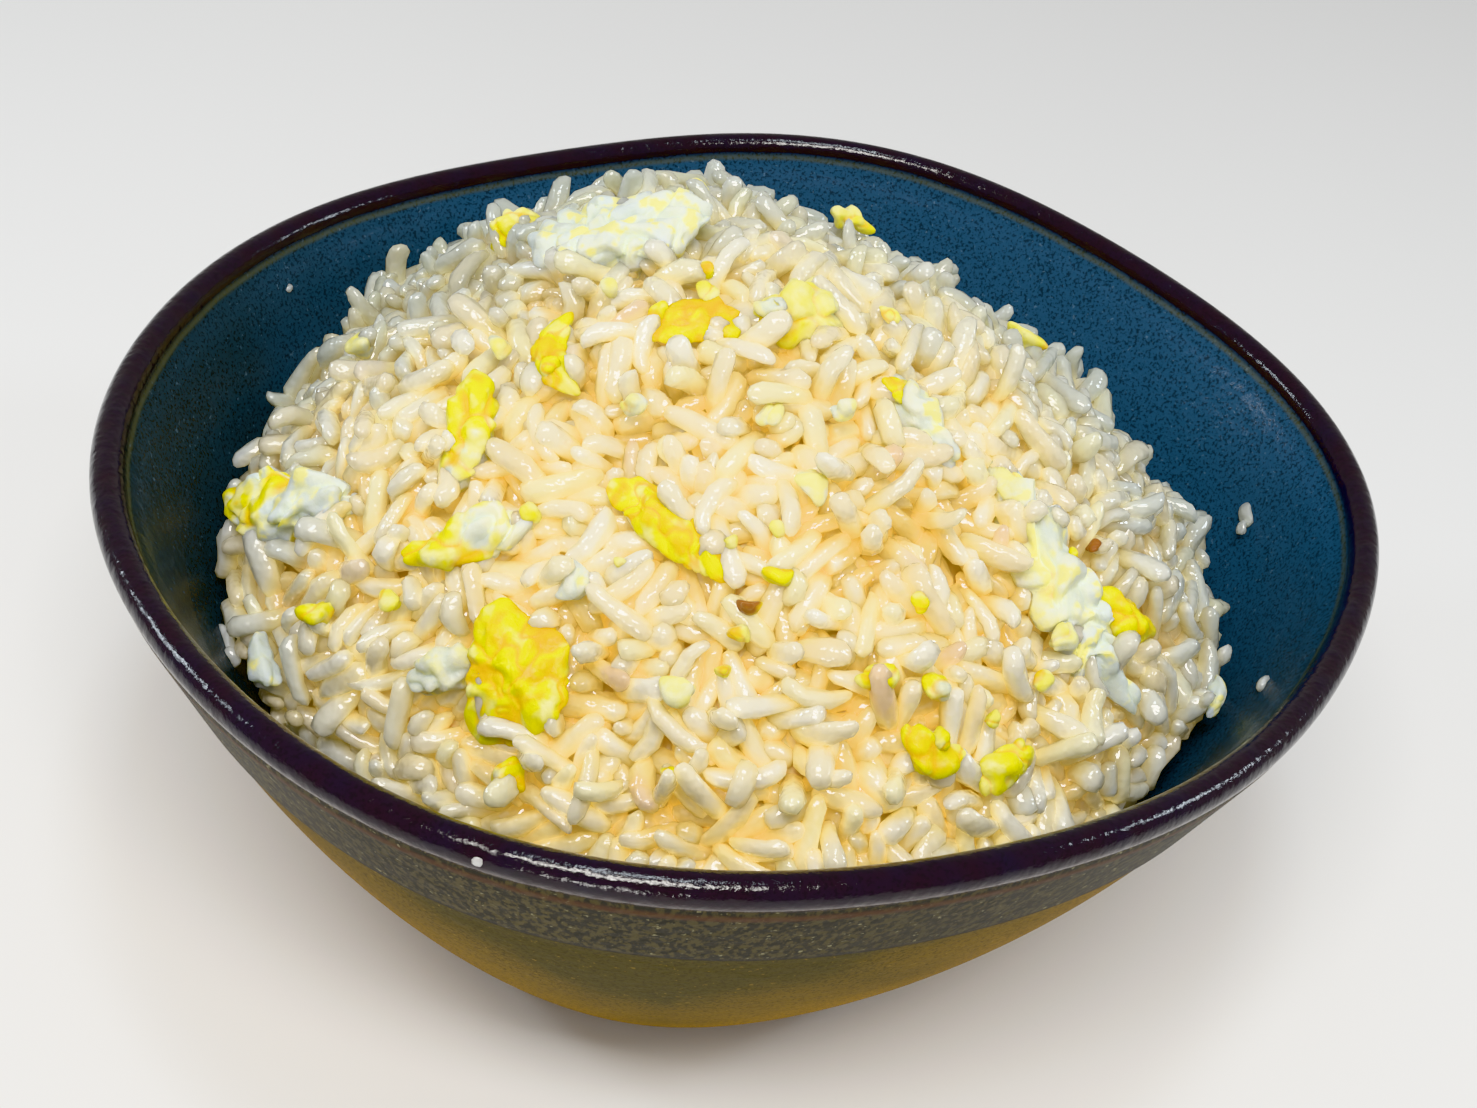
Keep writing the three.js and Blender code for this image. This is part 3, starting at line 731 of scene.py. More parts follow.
    def hold(self, ends, stand, egg_walls):
        heap, bowl = self.heap, self.bowl
        radius = self.widths / 2
        over = heap.over(ends) + radius - heap.lumps(ends) - stand
        away = unit(heap.away(ends))
        ends -= away * (np.maximum(over, 0.0) * BACK_SHARE + SINK)[:, None]
        sunk = -PILE_DEPTH - heap.over(ends)
        ends += away * (np.maximum(sunk, 0.0) * UP_SHARE)[:, None]
        for centre, axes, reach in egg_walls:
            local = (ends - centre) @ axes.T / reach
            inside = np.linalg.norm(local, axis=1)
            close = (inside < 1.0) & (inside > 1e-6)
            shove = (local[close] / inside[close][:, None] * (1.0 - inside[close])[:, None] * reach) @ axes
            ends[close] += shove * UP_SHARE
        flat = ends[:, :2] - FOOT_OFF_CENTRE[:2]
        angle, level = np.arctan2(flat[:, 1], flat[:, 0]), np.hypot(flat[:, 0], flat[:, 1])
        wall = bowl.inner_radius(angle, ends[:, 2]) - radius - WALL_GAP
        back = np.maximum(level - wall, 0.0) / np.maximum(level, 1e-6)
        ends[:, :2] -= flat * back[:, None]

    def clearance(self, points, owners):
        """How far each point lies from the nearest other grain, less than 0 inside it."""
        spots = KDTree(self.count * 3)
        for index, (start, end) in enumerate(zip(self.start, self.end)):
            for share in range(3):
                spots.insert(start + (end - start) * (share / 2), index * 3 + share)
        spots.balance()
        near = [
            [other // 3 for _, other, _ in spots.find_range(middle, half[0] + self.width * 1.7)]
            for middle, half in zip(self.middles(), self.half)
        ]
        least = np.full(len(points), 9.0)
        size = len(points) // len(owners)
        pairs = [(row, other) for row, own in enumerate(owners) for other in set(near[own]) if other != own]
        rows, others = np.array(pairs).T
        first, way = self.start[others], (self.end - self.start)[others]
        away = points.reshape(-1, size, 3)[rows] - first[:, None]
        share = np.clip((away * way[:, None]).sum(2) / (way * way).sum(1)[:, None], 0.0, 1.0)
        apart = np.linalg.norm(away - share[..., None] * way[:, None], axis=2)
        np.minimum.at(least.reshape(-1, size), rows, apart - self.widths[others][:, None] / 2)
        return least

    def turns(self, roll):
        """Turning matrices that lay a shape along each grain."""
        way = unit(self.end - self.start)
        side = unit(np.cross(self.middles() - self.heap.centre, way))
        up = np.cross(way, side)
        across = side * np.cos(roll)[:, None] + up * np.sin(roll)[:, None]
        return np.stack([way, across, np.cross(way, across)], -1)


class TopMap:
    """Height of the pile's top over the plan, evened out over about a grain's width."""

    PITCH = 0.8

    def __init__(self, points):
        self.low = points[:, :2].min(0) - 4.0
        size = ((points[:, :2].max(0) + 4.0 - self.low) / self.PITCH).astype(int) + 1
        grid = np.full(size, -1e3)
        np.maximum.at(grid, self.cells(points), points[:, 2])
        grid = self.over_discs(grid, 2, np.maximum)
        solid = (grid > -1e2).astype(float)
        total = self.over_discs(np.where(solid > 0, grid, 0.0), 4, np.add)
        self.grid = total / np.maximum(self.over_discs(solid, 4, np.add), 1.0)

    def cells(self, points):
        index = ((points[:, :2] - self.low) / self.PITCH).astype(int)
        return index[:, 0], index[:, 1]

    def over_discs(self, grid, reach, joined):
        """Each cell joined with its neighbours in a disc."""
        result = grid
        for i in range(-reach, reach + 1):
            for j in range(-reach, reach + 1):
                if (i or j) and i * i + j * j <= reach * reach:
                    result = joined(result, np.roll(grid, (i, j), (0, 1)))
        return result

    def under_top(self, points):
        return self.grid[self.cells(points)] - points[:, 2]


# ------------------------------------------------------------------ egg


def egg_frame(heap, piece):
    azimuth, elevation = (math.radians(a) for a in piece.at)
    east, north, out = heap.frame_at(azimuth, elevation)
    heading = math.radians(piece.heading)
    along = east * math.cos(heading) + north * math.sin(heading)
    return heap.point(azimuth, elevation), along, np.cross(out, along), out


def egg_wall(heap, piece):
    """The room a piece of egg keeps free of grain ends: it is tall, so grains slide off sideways."""
    middle, along, across, out = egg_frame(heap, piece)
    length, width, height = piece.size
    reach = np.array([length * 0.37, width * 0.34, height * 0.5 + 3.0])
    return middle, np.array([along, across, out]), reach


def soft_noise(places, pitch, phase):
    """Smooth noise about 0 at each place, in millimetres of pitch."""
    shift = Vector((phase, phase * 0.7, -phase))
    return np.array([noise.noise(Vector(place) / pitch + shift) for place in places])


def billows(places, pitch, phase):
    """Soft round lumps with creases between them, from 0 in a crease to about 1."""
    return np.minimum(1.0, np.abs(soft_noise(places, pitch, phase)) * 2.4)


def egg_mesh(heap, piece, order, detail):
    """A soft curd that drapes over the heap, with lobes and folds."""
    middle, along_way, across_way, _ = egg_frame(heap, piece)
    length, width, height = (size / 2 for size in piece.size)
    curl = math.radians(piece.curl)
    maker = bmesh.new()
    bmesh.ops.create_icosphere(maker, subdivisions=detail, radius=1.0)
    x, y, z = ways = np.array([vert.co for vert in maker.verts]).T
    lobes = np.sin(3.3 * x + 2.1 * order) * np.cos(2.6 * y - order) + np.sin(4.1 * z + order)
    rough = np.stack([x * length, y * width, z * height], -1)
    phase = 3.7 * order
    least_yolk, most_yolk = min(piece.yolk), max(piece.yolk)
    solid_yolk = least_yolk > SOLID_YOLK
    ragged = YOLK_RAGGED if solid_yolk else EGG_RAGGED
    outline = 0.95 + EGG_LUMP * lobes + ragged * soft_noise(rough, OUTLINE_PITCH, phase + 20.0)
    outline += 0.05 * soft_noise(rough, 1.4, phase)
    warp = np.stack([soft_noise(rough, 3.0, phase + shift) for shift in (51.0, 62.0, 73.0)], -1)
    folds = billows(rough + 2.2 * warp, FOLD_PITCH, phase)
    fine = billows(rough + 1.0 * warp, FINE_PITCH, phase + 9.0)
    depth = YOLK_FOLDS if solid_yolk else WHITE_FOLDS if least_yolk < 0.4 else MIXED_FOLDS
    puff = depth * folds + (0.16 if least_yolk > 0.4 else 0.08) * fine - 0.5
    normal = unit((ways / np.array([[length], [width], [height]])).T)
    rough = rough * outline[:, None] + normal * (puff * min(1.0, width / 3.2))[:, None]
    along = rough[:, 0]
    across = rough[:, 1] + 0.5 * curl * (along * along - 0.3 * length * length) / length
    spots = middle + along[:, None] * along_way + across[:, None] * across_way
    azimuth, elevation = heap.angles(spots)
    elevation = np.maximum(elevation, 0.0)
    out = heap.frame_at(azimuth, elevation)[2]
    wavy = EGG_DRAPE * soft_noise(rough * [1.0, 1.0, 0.3], DRAPE_PITCH, phase + 31.0)
    seat = 0.32 * height - 2.2 if piece.seat is None else piece.seat
    rise = seat + rough[:, 2] + wavy
    points = heap.point(azimuth, elevation) + out * rise[:, None]
    start, finish = piece.yolk
    share = start + (finish - start) * (0.5 + 0.5 * x) + piece.side * y
    mottle = 0.6 if most_yolk > 0.6 else 0.16
    share = share + mottle * soft_noise(rough + 1.5 * warp, 2.8, phase + 5.0)
    share = np.clip(share, 0.0, max(1.0, start))
    layers = [maker.verts.layers.float.new(name) for name in ("yolk", "crease")]
    for vert, point, amount, fold in zip(maker.verts, points, share, folds):
        vert.co = point
        vert[layers[0]] = amount
        vert[layers[1]] = fold
    bmesh.ops.recalc_face_normals(maker, faces=maker.faces)
    return maker


# ------------------------------------------------------------------ materials


def glaze_material(settings):
    """Speckled stoneware glazes: glossy plum lip, blue inside, satin olive band over an ochre body, whose
    golden ochre low down and at the sides is partly a painted reflection of a wooden table.
    """
    shader = Shader("bowl_glaze")
    depth = shader.attribute("depth")
    inside = shader.attribute("inside").step(0.4, 0.6)
    on_foot = shader.attribute("foot").step(0.4, 0.6)
    fine = shader.noise(0.42, 3.0, 0.6)
    broad = shader.noise(26.0, 3.0)
    wander = (shader.noise(9.0, 2.0) - 0.5) * 1.2
    side = shader.axis("X") / MM
    back = shader.axis("Y") / MM
    dark_specks = fine.step(0.50, 0.60)
    pale_specks = shader.noise(0.9, 2.0, 0.7).step(0.64, 0.74)

    # The inside is laid darker slate towards the left and the front and bluer towards the right and the back.
    blue_share = ((side * 0.45 + back * 0.85) / 70.0 + 0.5 + (broad - 0.5) * 1.1).clamped()
    inner = shader.coated(
        settings.glaze_slate,
        (blue_share, settings.glaze_blue),
        (dark_specks * 0.75, srgb(5, 10, 16)),
        (pale_specks * 0.45, srgb(106, 132, 156)),
        ((depth + wander * 0.4).line(2.7, 0.1, 0.6) * 0.5, srgb(96, 96, 70)),
    )
    band_end = (settings.band + settings.lip_radius) / MM
    # More ochre low down and at the left and right: partly the glaze's own colour, partly a painted
    # reflection of a wooden table.
    ochre_and_reflection_share = ((depth - band_end) / 42.0 + (abs(side) - 24.0) / 60.0 + (broad - 0.5) * 0.8).clamped()
    body = shader.coated(
        settings.body_olive,
        (ochre_and_reflection_share, settings.body_ochre_and_reflection),
        (dark_specks * 0.6, srgb(44, 34, 8)),
        (pale_specks * 0.3, srgb(190, 150, 60)),
    )
    stretched = {0: shader.place(), 1: (1.0, 1.0, 0.5)}
    drawn_down = shader.add("ShaderNodeVectorMath", {"operation": "MULTIPLY"}, stretched)
    band = shader.mixed(((broad - 0.4) * 2.0).clamped(), settings.band_grey, srgb(40, 38, 22))
    band = shader.mixed(shader.noise(0.7, 2.0, 0.6, drawn_down).step(0.44, 0.6), srgb(28, 26, 14), band)
    band = shader.mixed(pale_specks * 0.7, band, srgb(148, 142, 104))
    on_body = (depth + wander * 0.25).step(band_end - 0.35, band_end + 0.1)
    outer = shader.coated(
        band,
        (on_body, body),
        (depth.line(band_end - 0.2, 0.1, 0.7) * 0.6, srgb(18, 16, 11)),
        (depth.line(4.6, 0.2, 1.0) * 0.7, srgb(74, 44, 24)),
    )
    off_lip = (depth + wander * 0.3 + inside * 0.7).step(2.5, 3.5)
    colour = shader.coated(
        settings.lip_plum,
        # Blue-black blotches on the lip: partly the glaze's own tone, partly painted blue reflections.
        ((shader.noise(4.0, 2.0) - 0.35) * 1.8, srgb(20, 15, 32)),
        ((depth * (1.0 - inside)).step(1.6, 3.2) * 0.6, srgb(56, 20, 20)),
        (dark_specks * 0.5, srgb(6, 3, 6)),
        (off_lip, shader.mixed(inside, outer, inner)),
        (on_foot, settings.clay),
    )
    relief = shader.bump(fine * 0.4 + shader.noise(1.3, 1.0) * 0.8 + shader.noise(4.0) * 1.6, 0.12, 1.0)
    both = {"Base_Color": colour, "Normal": relief, "IOR": 1.5}
    shader.lay_over(
        1.0 - off_lip * (0.72 - inside * 0.27 + on_body * 0.13),
        Roughness=0.05 + fine * 0.05 + off_lip * 0.17,
        Specular_IOR_Level=0.55,
        **both,
    )
    return shader.finish(Roughness=0.6 + fine * 0.1, Specular_IOR_Level=0.05, **both)


def soy_and_light_pool(shader):
    """How much of the oil and soy a place has taken up, with a painted pool of warm front light over it: most
    in the front and middle of the heap.
    """
    return 1.0 - (shader.distance_from(SOY_AND_LIGHT_CENTRE) / MM).step(*SOY_AND_LIGHT_REACH)


def rice_material(settings):
    """Soft, wet, half-clear grains with painted light: whiter tops under a bluish painted sheen, oiled sides
    in painted shade, gaps stained with oil and soy and deepened by painted shade, and faint painted light
    glowing from within, strongest in the gaps.
    """
    shader = Shader("cooked_rice")
    shade = shader.attribute("shade")
    ridge = shader.attribute("ridge")
    depth = shader.attribute("sunk")
    clear = shader.attribute("clear")
    cloud = shader.noise(1.6, 2.0)
    # The oil and soy share is also a painted pool of warm front light: painted light in the middle of the
    # heap, painted shade towards its edges.
    warm = (soy_and_light_pool(shader) + (shade - 0.5) * 0.5).clamped()
    grain = shader.coated(
        settings.grain_plain_and_shaded,
        (warm, settings.grain_oiled_and_lit),
        (shade.step(0.7, 0.95) * 0.35, srgb(208, 216, 224)),
        (shade.line(0.2, 0.06, 0.12) * 0.6, srgb(224, 202, 148)),
        (shade.line(0.45, 0.03, 0.1) * 0.4, srgb(240, 230, 150)),
        (shade.line(0.62, 0.01, 0.02) * warm * 0.7, srgb(206, 156, 92)),
    )
    # flank is the painted shade down the sides of the grains; crown lays a bluish-white painted sheen along
    # their tops, which take the lighter grain colour.
    flank = shader.mixed(warm, srgb(178, 168, 138), srgb(226, 212, 158))
    oily_and_shaded = shader.mixed(warm, srgb(168, 160, 118), srgb(220, 202, 134))
    stain_and_shade = shader.mixed(warm, srgb(174, 148, 104), settings.sauce_and_gap_shade)
    painted_glow = shader.mixed(warm, srgb(190, 172, 120), srgb(206, 182, 104))
    crown = (ridge + (cloud - 0.5) * 1.2 + (shade - 0.5) * 0.6).step(0.1, 1.1)
    # Painted shade: grains at the back of the heap are painted darker and greyer, less so in the warm middle.
    away = (shader.axis("Y") / MM).step(-30.0, 30.0) * (1.0 - warm * 0.5)
    colour = shader.coated(
        flank,
        (ridge.step(-0.9, 0.35), grain),
        (crown * 0.16, srgb(206, 214, 220)),
        # Painted shade where a grain lies against another.
        ((0.95 - clear - ridge * 0.25).step(0.0, 0.8) * 0.4, flank),
        # Deeper under the top of the pile the grains turn oiled and stained with soy, and darker with painted
        # shade.
        ((depth - ridge * 0.6).step(1.0, 3.2) * 0.75, oily_and_shaded),
        (depth.step(2.2, 4.0) * 0.9, stain_and_shade),
        (away * 0.6, srgb(142, 150, 140)),
    )
    # Painted light: the grains give off a faint light everywhere and most in the gaps, standing in for light
    # shining through them.
    gap_glow_share = (depth - ridge * 0.5).step(0.2, 3.0) * 0.8 + 0.2
    shader.surface.subsurface_method = "BURLEY"
    return shader.finish(
        Base_Color=colour,
        Roughness=0.09 + cloud * 0.06,
        Normal=shader.bump(shader.noise(0.8, 0.0) + shader.noise(2.2, 0.0) * 1.8, 0.17, 1.0),
        IOR=1.6,
        Specular_IOR_Level=1.0,
        Emission_Color=shader.mixed(gap_glow_share, (0.0, 0.0, 0.0), painted_glow),
        Emission_Strength=0.2,
        Subsurface_Weight=1.0,
        Subsurface_Radius=(1.0, 0.94, 0.68),
        Subsurface_Scale=3.0 * MM,
    )


def core_material(settings):
    """The packed, soaked rice under the loose grains."""
    shader = Shader("rice_core")
    cloud = shader.noise(3.0, 3.0)
    # Warmer in the painted pool of front light, and towards the colour of the gaps with their painted shade.
    base = shader.mixed(soy_and_light_pool(shader), srgb(186, 150, 92), settings.sauce_and_gap_shade)
    return shader.finish(
        Base_Color=shader.mixed(cloud.step(0.35, 0.7), base, srgb(238, 196, 130)),
        Roughness=0.5,
        Normal=shader.bump(cloud, 0.8),
        Subsurface_Weight=0.4,
        Subsurface_Scale=2.0 * MM,
    )


def egg_material(settings):
    """Soft set egg: bluish white through pale yellow to a deep yolk, deeper in its creases as painted shade,
    and the white painted whiter in the pool of front light.
    """
    shader = Shader("scrambled_egg")
    yolk = shader.attribute("yolk")
    crease = shader.attribute("crease")
    cloud = shader.noise(1.8, 3.0)
    share = (yolk + (cloud - 0.5) * 0.35).clamped()
    # Painted light: the egg white is painted white in the pool of warm front light and bluish grey, with
    # bluish blotches, away from it.
    front = soy_and_light_pool(shader)
    # Painted shade in the creases: grey-green on the white, orange on the yolk.
    fold = shader.mixed(share.step(0.25, 0.5), srgb(188, 198, 186), srgb(232, 170, 12))
    colour = shader.coated(
        srgb(200, 212, 210),
        (front, settings.white),
        (shader.noise(3.6, 2.0).step(0.42, 0.62) * (0.6 - front * 0.3), srgb(192, 206, 212)),
        (share.step(0.14, 0.42), settings.pale),
        (share.step(0.36, 0.6), settings.yellow),
        (shader.noise(2.4, 2.0).step(0.5, 0.68) * (1.1 - share).clamped() * 1.6, srgb(238, 232, 150)),
        ((share + (shader.noise(3.2) - 0.5) * 0.8).step(0.8, 1.2), settings.deep),
        ((0.4 - crease).clamped() * 1.8, fold),
        (yolk.step(1.3, 1.6), settings.scorched),
    )
    shader.surface.subsurface_method = "BURLEY"
    return shader.finish(
        Base_Color=colour,
        Roughness=0.26 + cloud * 0.16,
        Normal=shader.bump(shader.noise(0.8, 3.0, 0.6), 0.18, 0.8),
        IOR=1.42,
        Specular_IOR_Level=0.3,
        Subsurface_Weight=0.9,
        Subsurface_Radius=(1.0, 1.0, 0.4),
        Subsurface_Scale=1.6 * MM,
    )


def floor_material(settings):
    shader = Shader("pale_floor")
    return shader.finish(Base_Color=settings.floor, Roughness=0.8)


# ------------------------------------------------------------------ operators


class DISH_OT_bowl(bpy.types.Operator):
    """Turn the stoneware bowl, sway its rim and glaze it"""

    bl_idname = "dish.bowl"
    bl_label = "Make the bowl"

    def execute(self, context):
        settings = context.scene.dish_bowl
        form = BowlForm(settings)
        maker = bmesh.new()
        rim = [maker.verts.new((radius, 0.0, height)) for radius, height in form.profile()]
        edges = [maker.edges.new(pair) for pair in zip(rim, rim[1:])]
        once_round = {"angle": 2 * math.pi, "steps": SPIN_STEPS, "use_merge": True}
        bmesh.ops.spin(maker, geom=rim + edges, axis=(0, 0, 1), cent=(0, 0, 0), **once_round)
        bmesh.ops.remove_doubles(maker, verts=maker.verts, dist=0.01)
        bmesh.ops.recalc_face_normals(maker, faces=maker.faces)
        depth = maker.verts.layers.float.new("depth")
        inside = maker.verts.layers.float.new("inside")
        foot = maker.verts.layers.float.new("foot")
        for vert in maker.verts:
            x, y, z = vert.co
            radius = math.hypot(x, y)
            outside = form.rim - float(form.inset(max(0.0, form.depth_of(z))))
            vert[depth] = form.height - z
            vert[inside] = float(radius < outside - form.wall / 2 and z > WALL_FOOT + 1.0)
            vert[foot] = float(z < WALL_FOOT - 0.1 and radius < FOOT_RADIUS + 3.0)
            vert.co = form.waved(x, y, z)
        new_piece("glazed_bowl", maker, glaze_material(settings), "glaze", "bowl")
        return {"FINISHED"}


class DISH_OT_core(bpy.types.Operator):
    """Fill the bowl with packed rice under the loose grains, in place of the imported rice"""

    bl_idname = "dish.core"
    bl_label = "Make the packed rice"

    def execute(self, context):
        heap = HeapForm(context.scene.dish_heap)
        bowl = BowlForm(context.scene.dish_bowl)
        maker = bmesh.new()
        bmesh.ops.create_icosphere(maker, subdivisions=6, radius=1.0)
        ways = np.array([vert.co.normalized() for vert in maker.verts])
        azimuth = np.arctan2(ways[:, 1], ways[:, 0])
        elevation = np.arcsin(np.clip(ways[:, 2], -1.0, 1.0))
        sunk = 0.9 * soft_noise(ways, 0.05, 0.0) - CORE_DEPTH
        points = heap.point(azimuth, np.maximum(elevation, 0.0), sunk)
        under = elevation < 0.0
        fall = np.where(under, np.minimum(1.0, -elevation / 0.9), 0.0)
        spread = np.where(under, np.minimum(1.0, (math.pi / 2 + elevation) / 0.65), 1.0)
        points[:, 2] += (FLOOR_HEIGHT + 0.6 - points[:, 2]) * fall
        flat = (points[:, :2] - heap.centre[:2]) * spread[:, None] + (heap.centre - FOOT_OFF_CENTRE)[:2]
        level = np.hypot(flat[:, 0], flat[:, 1])
        angle = np.arctan2(flat[:, 1], flat[:, 0])
        room = bowl.inner_radius(angle, np.maximum(points[:, 2], FLOOR_EDGE[1] + 1.0)) - 0.6
        points[:, :2] = flat * np.minimum(1.0, room / np.maximum(level, 1e-6))[:, None] + FOOT_OFF_CENTRE[:2]
        for vert, point in zip(maker.verts, points):
            vert.co = point
        bmesh.ops.recalc_face_normals(maker, faces=maker.faces)
        new_piece("rice_core", maker, core_material(context.scene.dish_heap), "rice", "rice")
        return {"FINISHED"}


class DISH_OT_egg(bpy.types.Operator):
    """Lay the folded pieces of scrambled egg on the heap"""

    bl_idname = "dish.egg"
    bl_label = "Make the egg"

    def execute(self, context):
        heap = HeapForm(context.scene.dish_heap)
        material = egg_material(context.scene.dish_egg)
        for order, (name, piece) in enumerate(EGG_PIECES.items()):
            maker = egg_mesh(heap, piece, order, 6 if max(piece.size) > EGG_LONG else 5)
            new_piece("soft_" + name, maker, material, "egg_" + piece.tint, name)
        return {"FINISHED"}


class DISH_OT_rice(bpy.types.Operator):
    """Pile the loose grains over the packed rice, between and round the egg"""

    bl_idname = "dish.rice"
    bl_label = "Make the grains"

    def execute(self, context):
        settings = context.scene.dish_heap
        heap, bowl = HeapForm(settings), BowlForm(context.scene.dish_bowl)
        walls = [egg_wall(heap, piece) for piece in EGG_PIECES.values()]
        pile = Pile(bowl, heap, settings)
        pile.settle(SETTLE_ROUNDS, walls)
        random = pile.random
        count = pile.count
        middles = pile.middles()
        depth = -heap.over(middles)
        turns = pile.turns(random.normal(0.0, TURN_SCATTER, count))
        turns = turns * np.stack([pile.lengths / 2, pile.widths / 2, pile.widths / 2], -1)[:, None, :]
        shade = random.random(count)
        whole = pile.lengths > pile.length * WHOLE_FROM
        deep = depth > DEEP_FROM
        material = rice_material(settings)
        kinds = (
            ("rice_grains_whole", whole & ~deep, 7),
            ("rice_grains_broken", ~whole & ~deep, 6),
            ("rice_grains_deep", deep, 6),
        )
        made = []
        for name, chosen, rings in kinds:
            if not chosen.any():
                raise RuntimeError(f"no grains for {name}")
            shapes, faces = grain_shapes(SHAPES_EACH, rings, random)
            which = random.integers(0, len(shapes), int(chosen.sum()))
            mesh, points = joined_copies(shapes, faces, middles[chosen], turns[chosen], which)
            size = shapes.shape[1]
            ridge = ((points - np.repeat(middles[chosen], size, 0)) * unit(heap.away(points))).sum(1)
            write_values(mesh, "shade", np.repeat(shade[chosen], size))
            write_values(mesh, "ridge", ridge / np.repeat(pile.widths[chosen] / 2, size))
            write_values(mesh, "clear", pile.clearance(points, np.flatnonzero(chosen)))
            mesh.name = name
            made.append((mesh, points))
        top = TopMap(np.concatenate([points for _, points in made]))
        for mesh, points in made:
            azimuth, elevation = heap.angles(points)
            lean = heap.frame_at(azimuth, np.maximum(elevation, 0.0))[2][:, 2]
            write_values(mesh, "sunk", top.under_top(points) * lean)
            placed_piece(mesh.name, mesh, material, "rice", "rice")
        return {"FINISHED"}


class DISH_OT_crumbs(bpy.types.Operator):
    """Scatter the small bits of egg over the heap"""

    bl_idname = "dish.crumbs"
    bl_label = "Make the crumbs"

    def execute(self, context):
        heap = HeapForm(context.scene.dish_heap)
        random = np.random.default_rng(CRUMB_SEED)
        bits = [
            EggPiece(at, (*size, CRUMB_HEIGHT), heading, 30, (yolk, yolk * 0.8), seat=CRUMB_SEAT)
            for at, size, heading, yolk in EGG_CRUMBS
        ]
        for _ in range(TINY_CRUMBS):
            size = random.uniform(1.2, 2.8)
            share = random.choice([0.3, 0.45, 0.65])
            at = (random.uniform(-160, -20), random.uniform(8, 80))
            heading = random.uniform(0, 180)
            bit = EggPiece(at, (size * 1.3, size, 2.0), heading, 20, (share, share), seat=TINY_CRUMB_SEAT)
            bits.append(bit)
        whole = bmesh.new()
        for name in ("yolk", "crease"):
            whole.verts.layers.float.new(name)
        for order, piece in enumerate(bits):
            bit = egg_mesh(heap, piece, order + 40, 4)
            mesh = bpy.data.meshes.new("bit")
            bit.to_mesh(mesh)
            bit.free()
            whole.from_mesh(mesh)
            bpy.data.meshes.remove(mesh)
        new_piece("egg_crumbs", whole, bpy.data.materials["scrambled_egg"], "egg_yellow", "rice")
        return {"FINISHED"}


class DISH_OT_strays(bpy.types.Operator):
    """Stick a few stray bits of rice to the bowl"""

    bl_idname = "dish.strays"
    bl_label = "Make the stray bits"

    def execute(self, context):
        random = np.random.default_rng(STRAY_SEED)
        shapes, faces = grain_shapes(6, 6, random)
        places = np.array([place for place, _, _ in STRAY_BITS])
        outs = unit(np.array([out for _, out, _ in STRAY_BITS]))
        ways = unit(np.cross(outs, random.normal(0.0, 1.0, outs.shape)))
        turns = np.stack([ways, np.cross(outs, ways), outs], -1)
        sizes = np.array([size for _, _, size in STRAY_BITS]) / 2
        which = np.arange(len(places)) % len(shapes)
        mesh, points = joined_copies(shapes, faces, places, turns * sizes[:, None, :], which)
        for name, value in (("shade", 0.9), ("ridge", 1.0), ("clear", 3.0), ("sunk", 0.0)):
            write_values(mesh, name, np.full(len(points), value))
        placed_piece("stray_bits", mesh, bpy.data.materials["cooked_rice"], "rice", "rice")
        return {"FINISHED"}


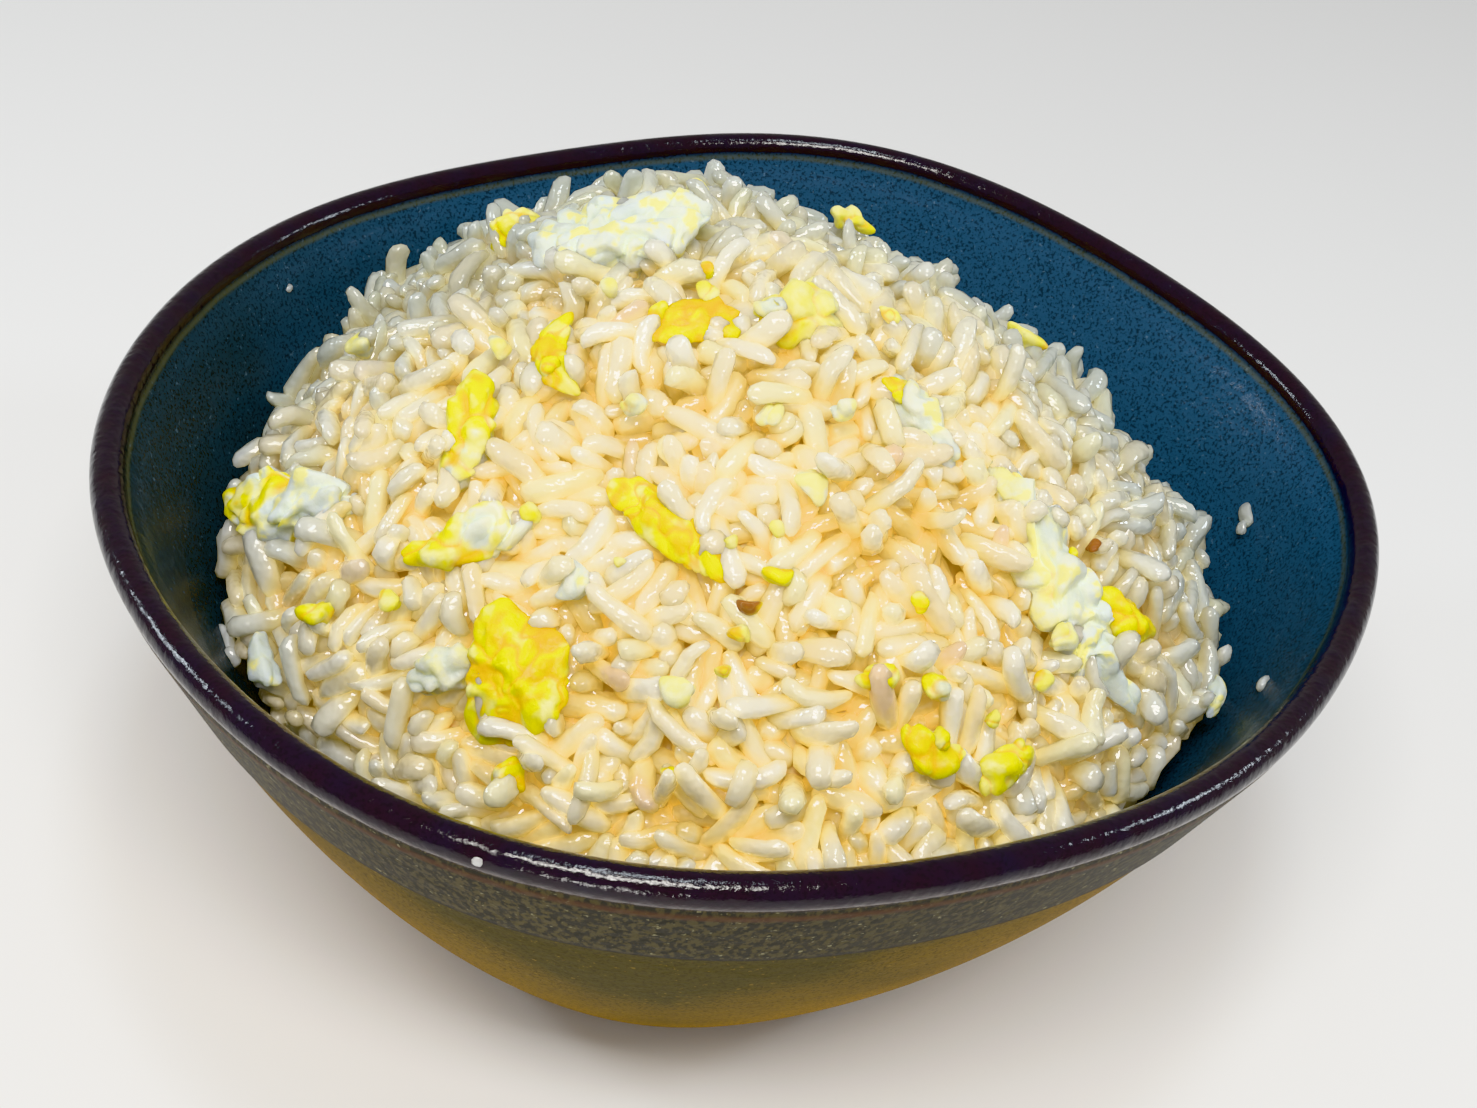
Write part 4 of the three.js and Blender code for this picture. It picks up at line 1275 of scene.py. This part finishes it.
class DISH_OT_stage(bpy.types.Operator):
    """Set the dish on a pale floor under soft light, and point the camera at it"""

    bl_idname = "dish.stage"
    bl_label = "Set the stage"

    def execute(self, context):
        settings = context.scene.dish_stage
        scene = context.scene
        maker = bmesh.new()
        bmesh.ops.create_grid(maker, x_segments=1, y_segments=1, size=FLOOR_SIZE)
        mesh = bpy.data.meshes.new("pale_floor")
        maker.to_mesh(mesh)
        maker.free()
        mesh.materials.append(floor_material(settings))
        linked("pale_floor", mesh)
        for name, power, colour, place, width, depth in LAMPS:
            self.light(name, getattr(settings, power), colour, place, width, depth)
        world = bpy.data.worlds.new("soft_room")
        world.use_nodes = True
        world.node_tree.nodes["Background"].inputs["Color"].default_value = ROOM_COLOUR
        world.node_tree.nodes["Background"].inputs["Strength"].default_value = ROOM_LIGHT
        scene.world = world
        scene.view_settings.view_transform = "Khronos PBR Neutral"
        scene.view_settings.gamma = GAMMA
        self.camera(scene)
        return {"FINISHED"}

    def light(self, name, power, colour, place, width, depth):
        lamp = bpy.data.lights.new(name, "AREA")
        lamp.energy = power
        lamp.color = colour
        lamp.shape = "RECTANGLE"
        lamp.size = width
        lamp.size_y = depth
        holder = linked(name, lamp)
        holder.location = place
        aim = Vector(LAMP_AIM) - holder.location
        holder.rotation_euler = aim.to_track_quat("-Z", "Y").to_euler()

    def camera(self, scene):
        """Looks down on the front of the bowl from a little over arm's length, with a slight roll."""
        elevation, roll = math.radians(CAMERA_ELEVATION), math.radians(CAMERA_ROLL)
        back = np.array([0.0, -math.cos(elevation), math.sin(elevation)])
        right = np.array([1.0, 0.0, 0.0])
        up = np.cross(back, right)
        c, s = math.cos(roll), math.sin(roll)
        right, up = right * c + up * s, up * c - right * s
        lens = bpy.data.cameras.new("camera")
        lens.sensor_width = SENSOR
        lens.lens = SENSOR * LENS_PIXELS / VIEW_WIDTH
        lens.clip_start = 0.01
        holder = linked("camera", lens)
        place = (CAMERA_TARGET + FOOT_OFF_CENTRE + back * CAMERA_DISTANCE) * MM
        rows = [(*axis, spot) for axis, spot in zip(np.stack([right, up, back], -1), place)]
        holder.matrix_world = Matrix([*rows, (0.0, 0.0, 0.0, 1.0)])
        scene.camera = holder


class DISH_PT_panel(bpy.types.Panel):
    bl_idname = "DISH_PT_panel"
    bl_label = "Bowl of egg fried rice"
    bl_space_type = "VIEW_3D"
    bl_region_type = "UI"
    bl_category = "Fried rice"

    def draw(self, context):
        for operator in OPERATORS:
            self.layout.operator(operator.bl_idname)
        for group in (getattr(context.scene, name) for name in GROUPS):
            for name in group.bl_rna.properties.keys():
                if name not in ("rna_type", "name"):
                    self.layout.prop(group, name)


OPERATORS = (
    DISH_OT_bowl, DISH_OT_core, DISH_OT_egg, DISH_OT_rice, DISH_OT_crumbs, DISH_OT_strays, DISH_OT_stage
)
GROUPS = {
    "dish_bowl": BowlSettings, "dish_heap": HeapSettings, "dish_egg": EggSettings, "dish_stage": StageSettings
}


def register():
    for kind in (*GROUPS.values(), *OPERATORS, DISH_PT_panel):
        bpy.utils.register_class(kind)
    for name, group in GROUPS.items():
        setattr(bpy.types.Scene, name, PointerProperty(type=group))


def unregister():
    for name in GROUPS:
        delattr(bpy.types.Scene, name)
    for kind in reversed((*GROUPS.values(), *OPERATORS, DISH_PT_panel)):
        bpy.utils.unregister_class(kind)


def main():
    register()
    bpy.ops.dish.bowl()
    bpy.ops.dish.core()
    bpy.ops.dish.egg()
    bpy.ops.dish.rice()
    bpy.ops.dish.crumbs()
    bpy.ops.dish.strays()
    bpy.ops.dish.stage()


if __name__ == "__main__":
    main()
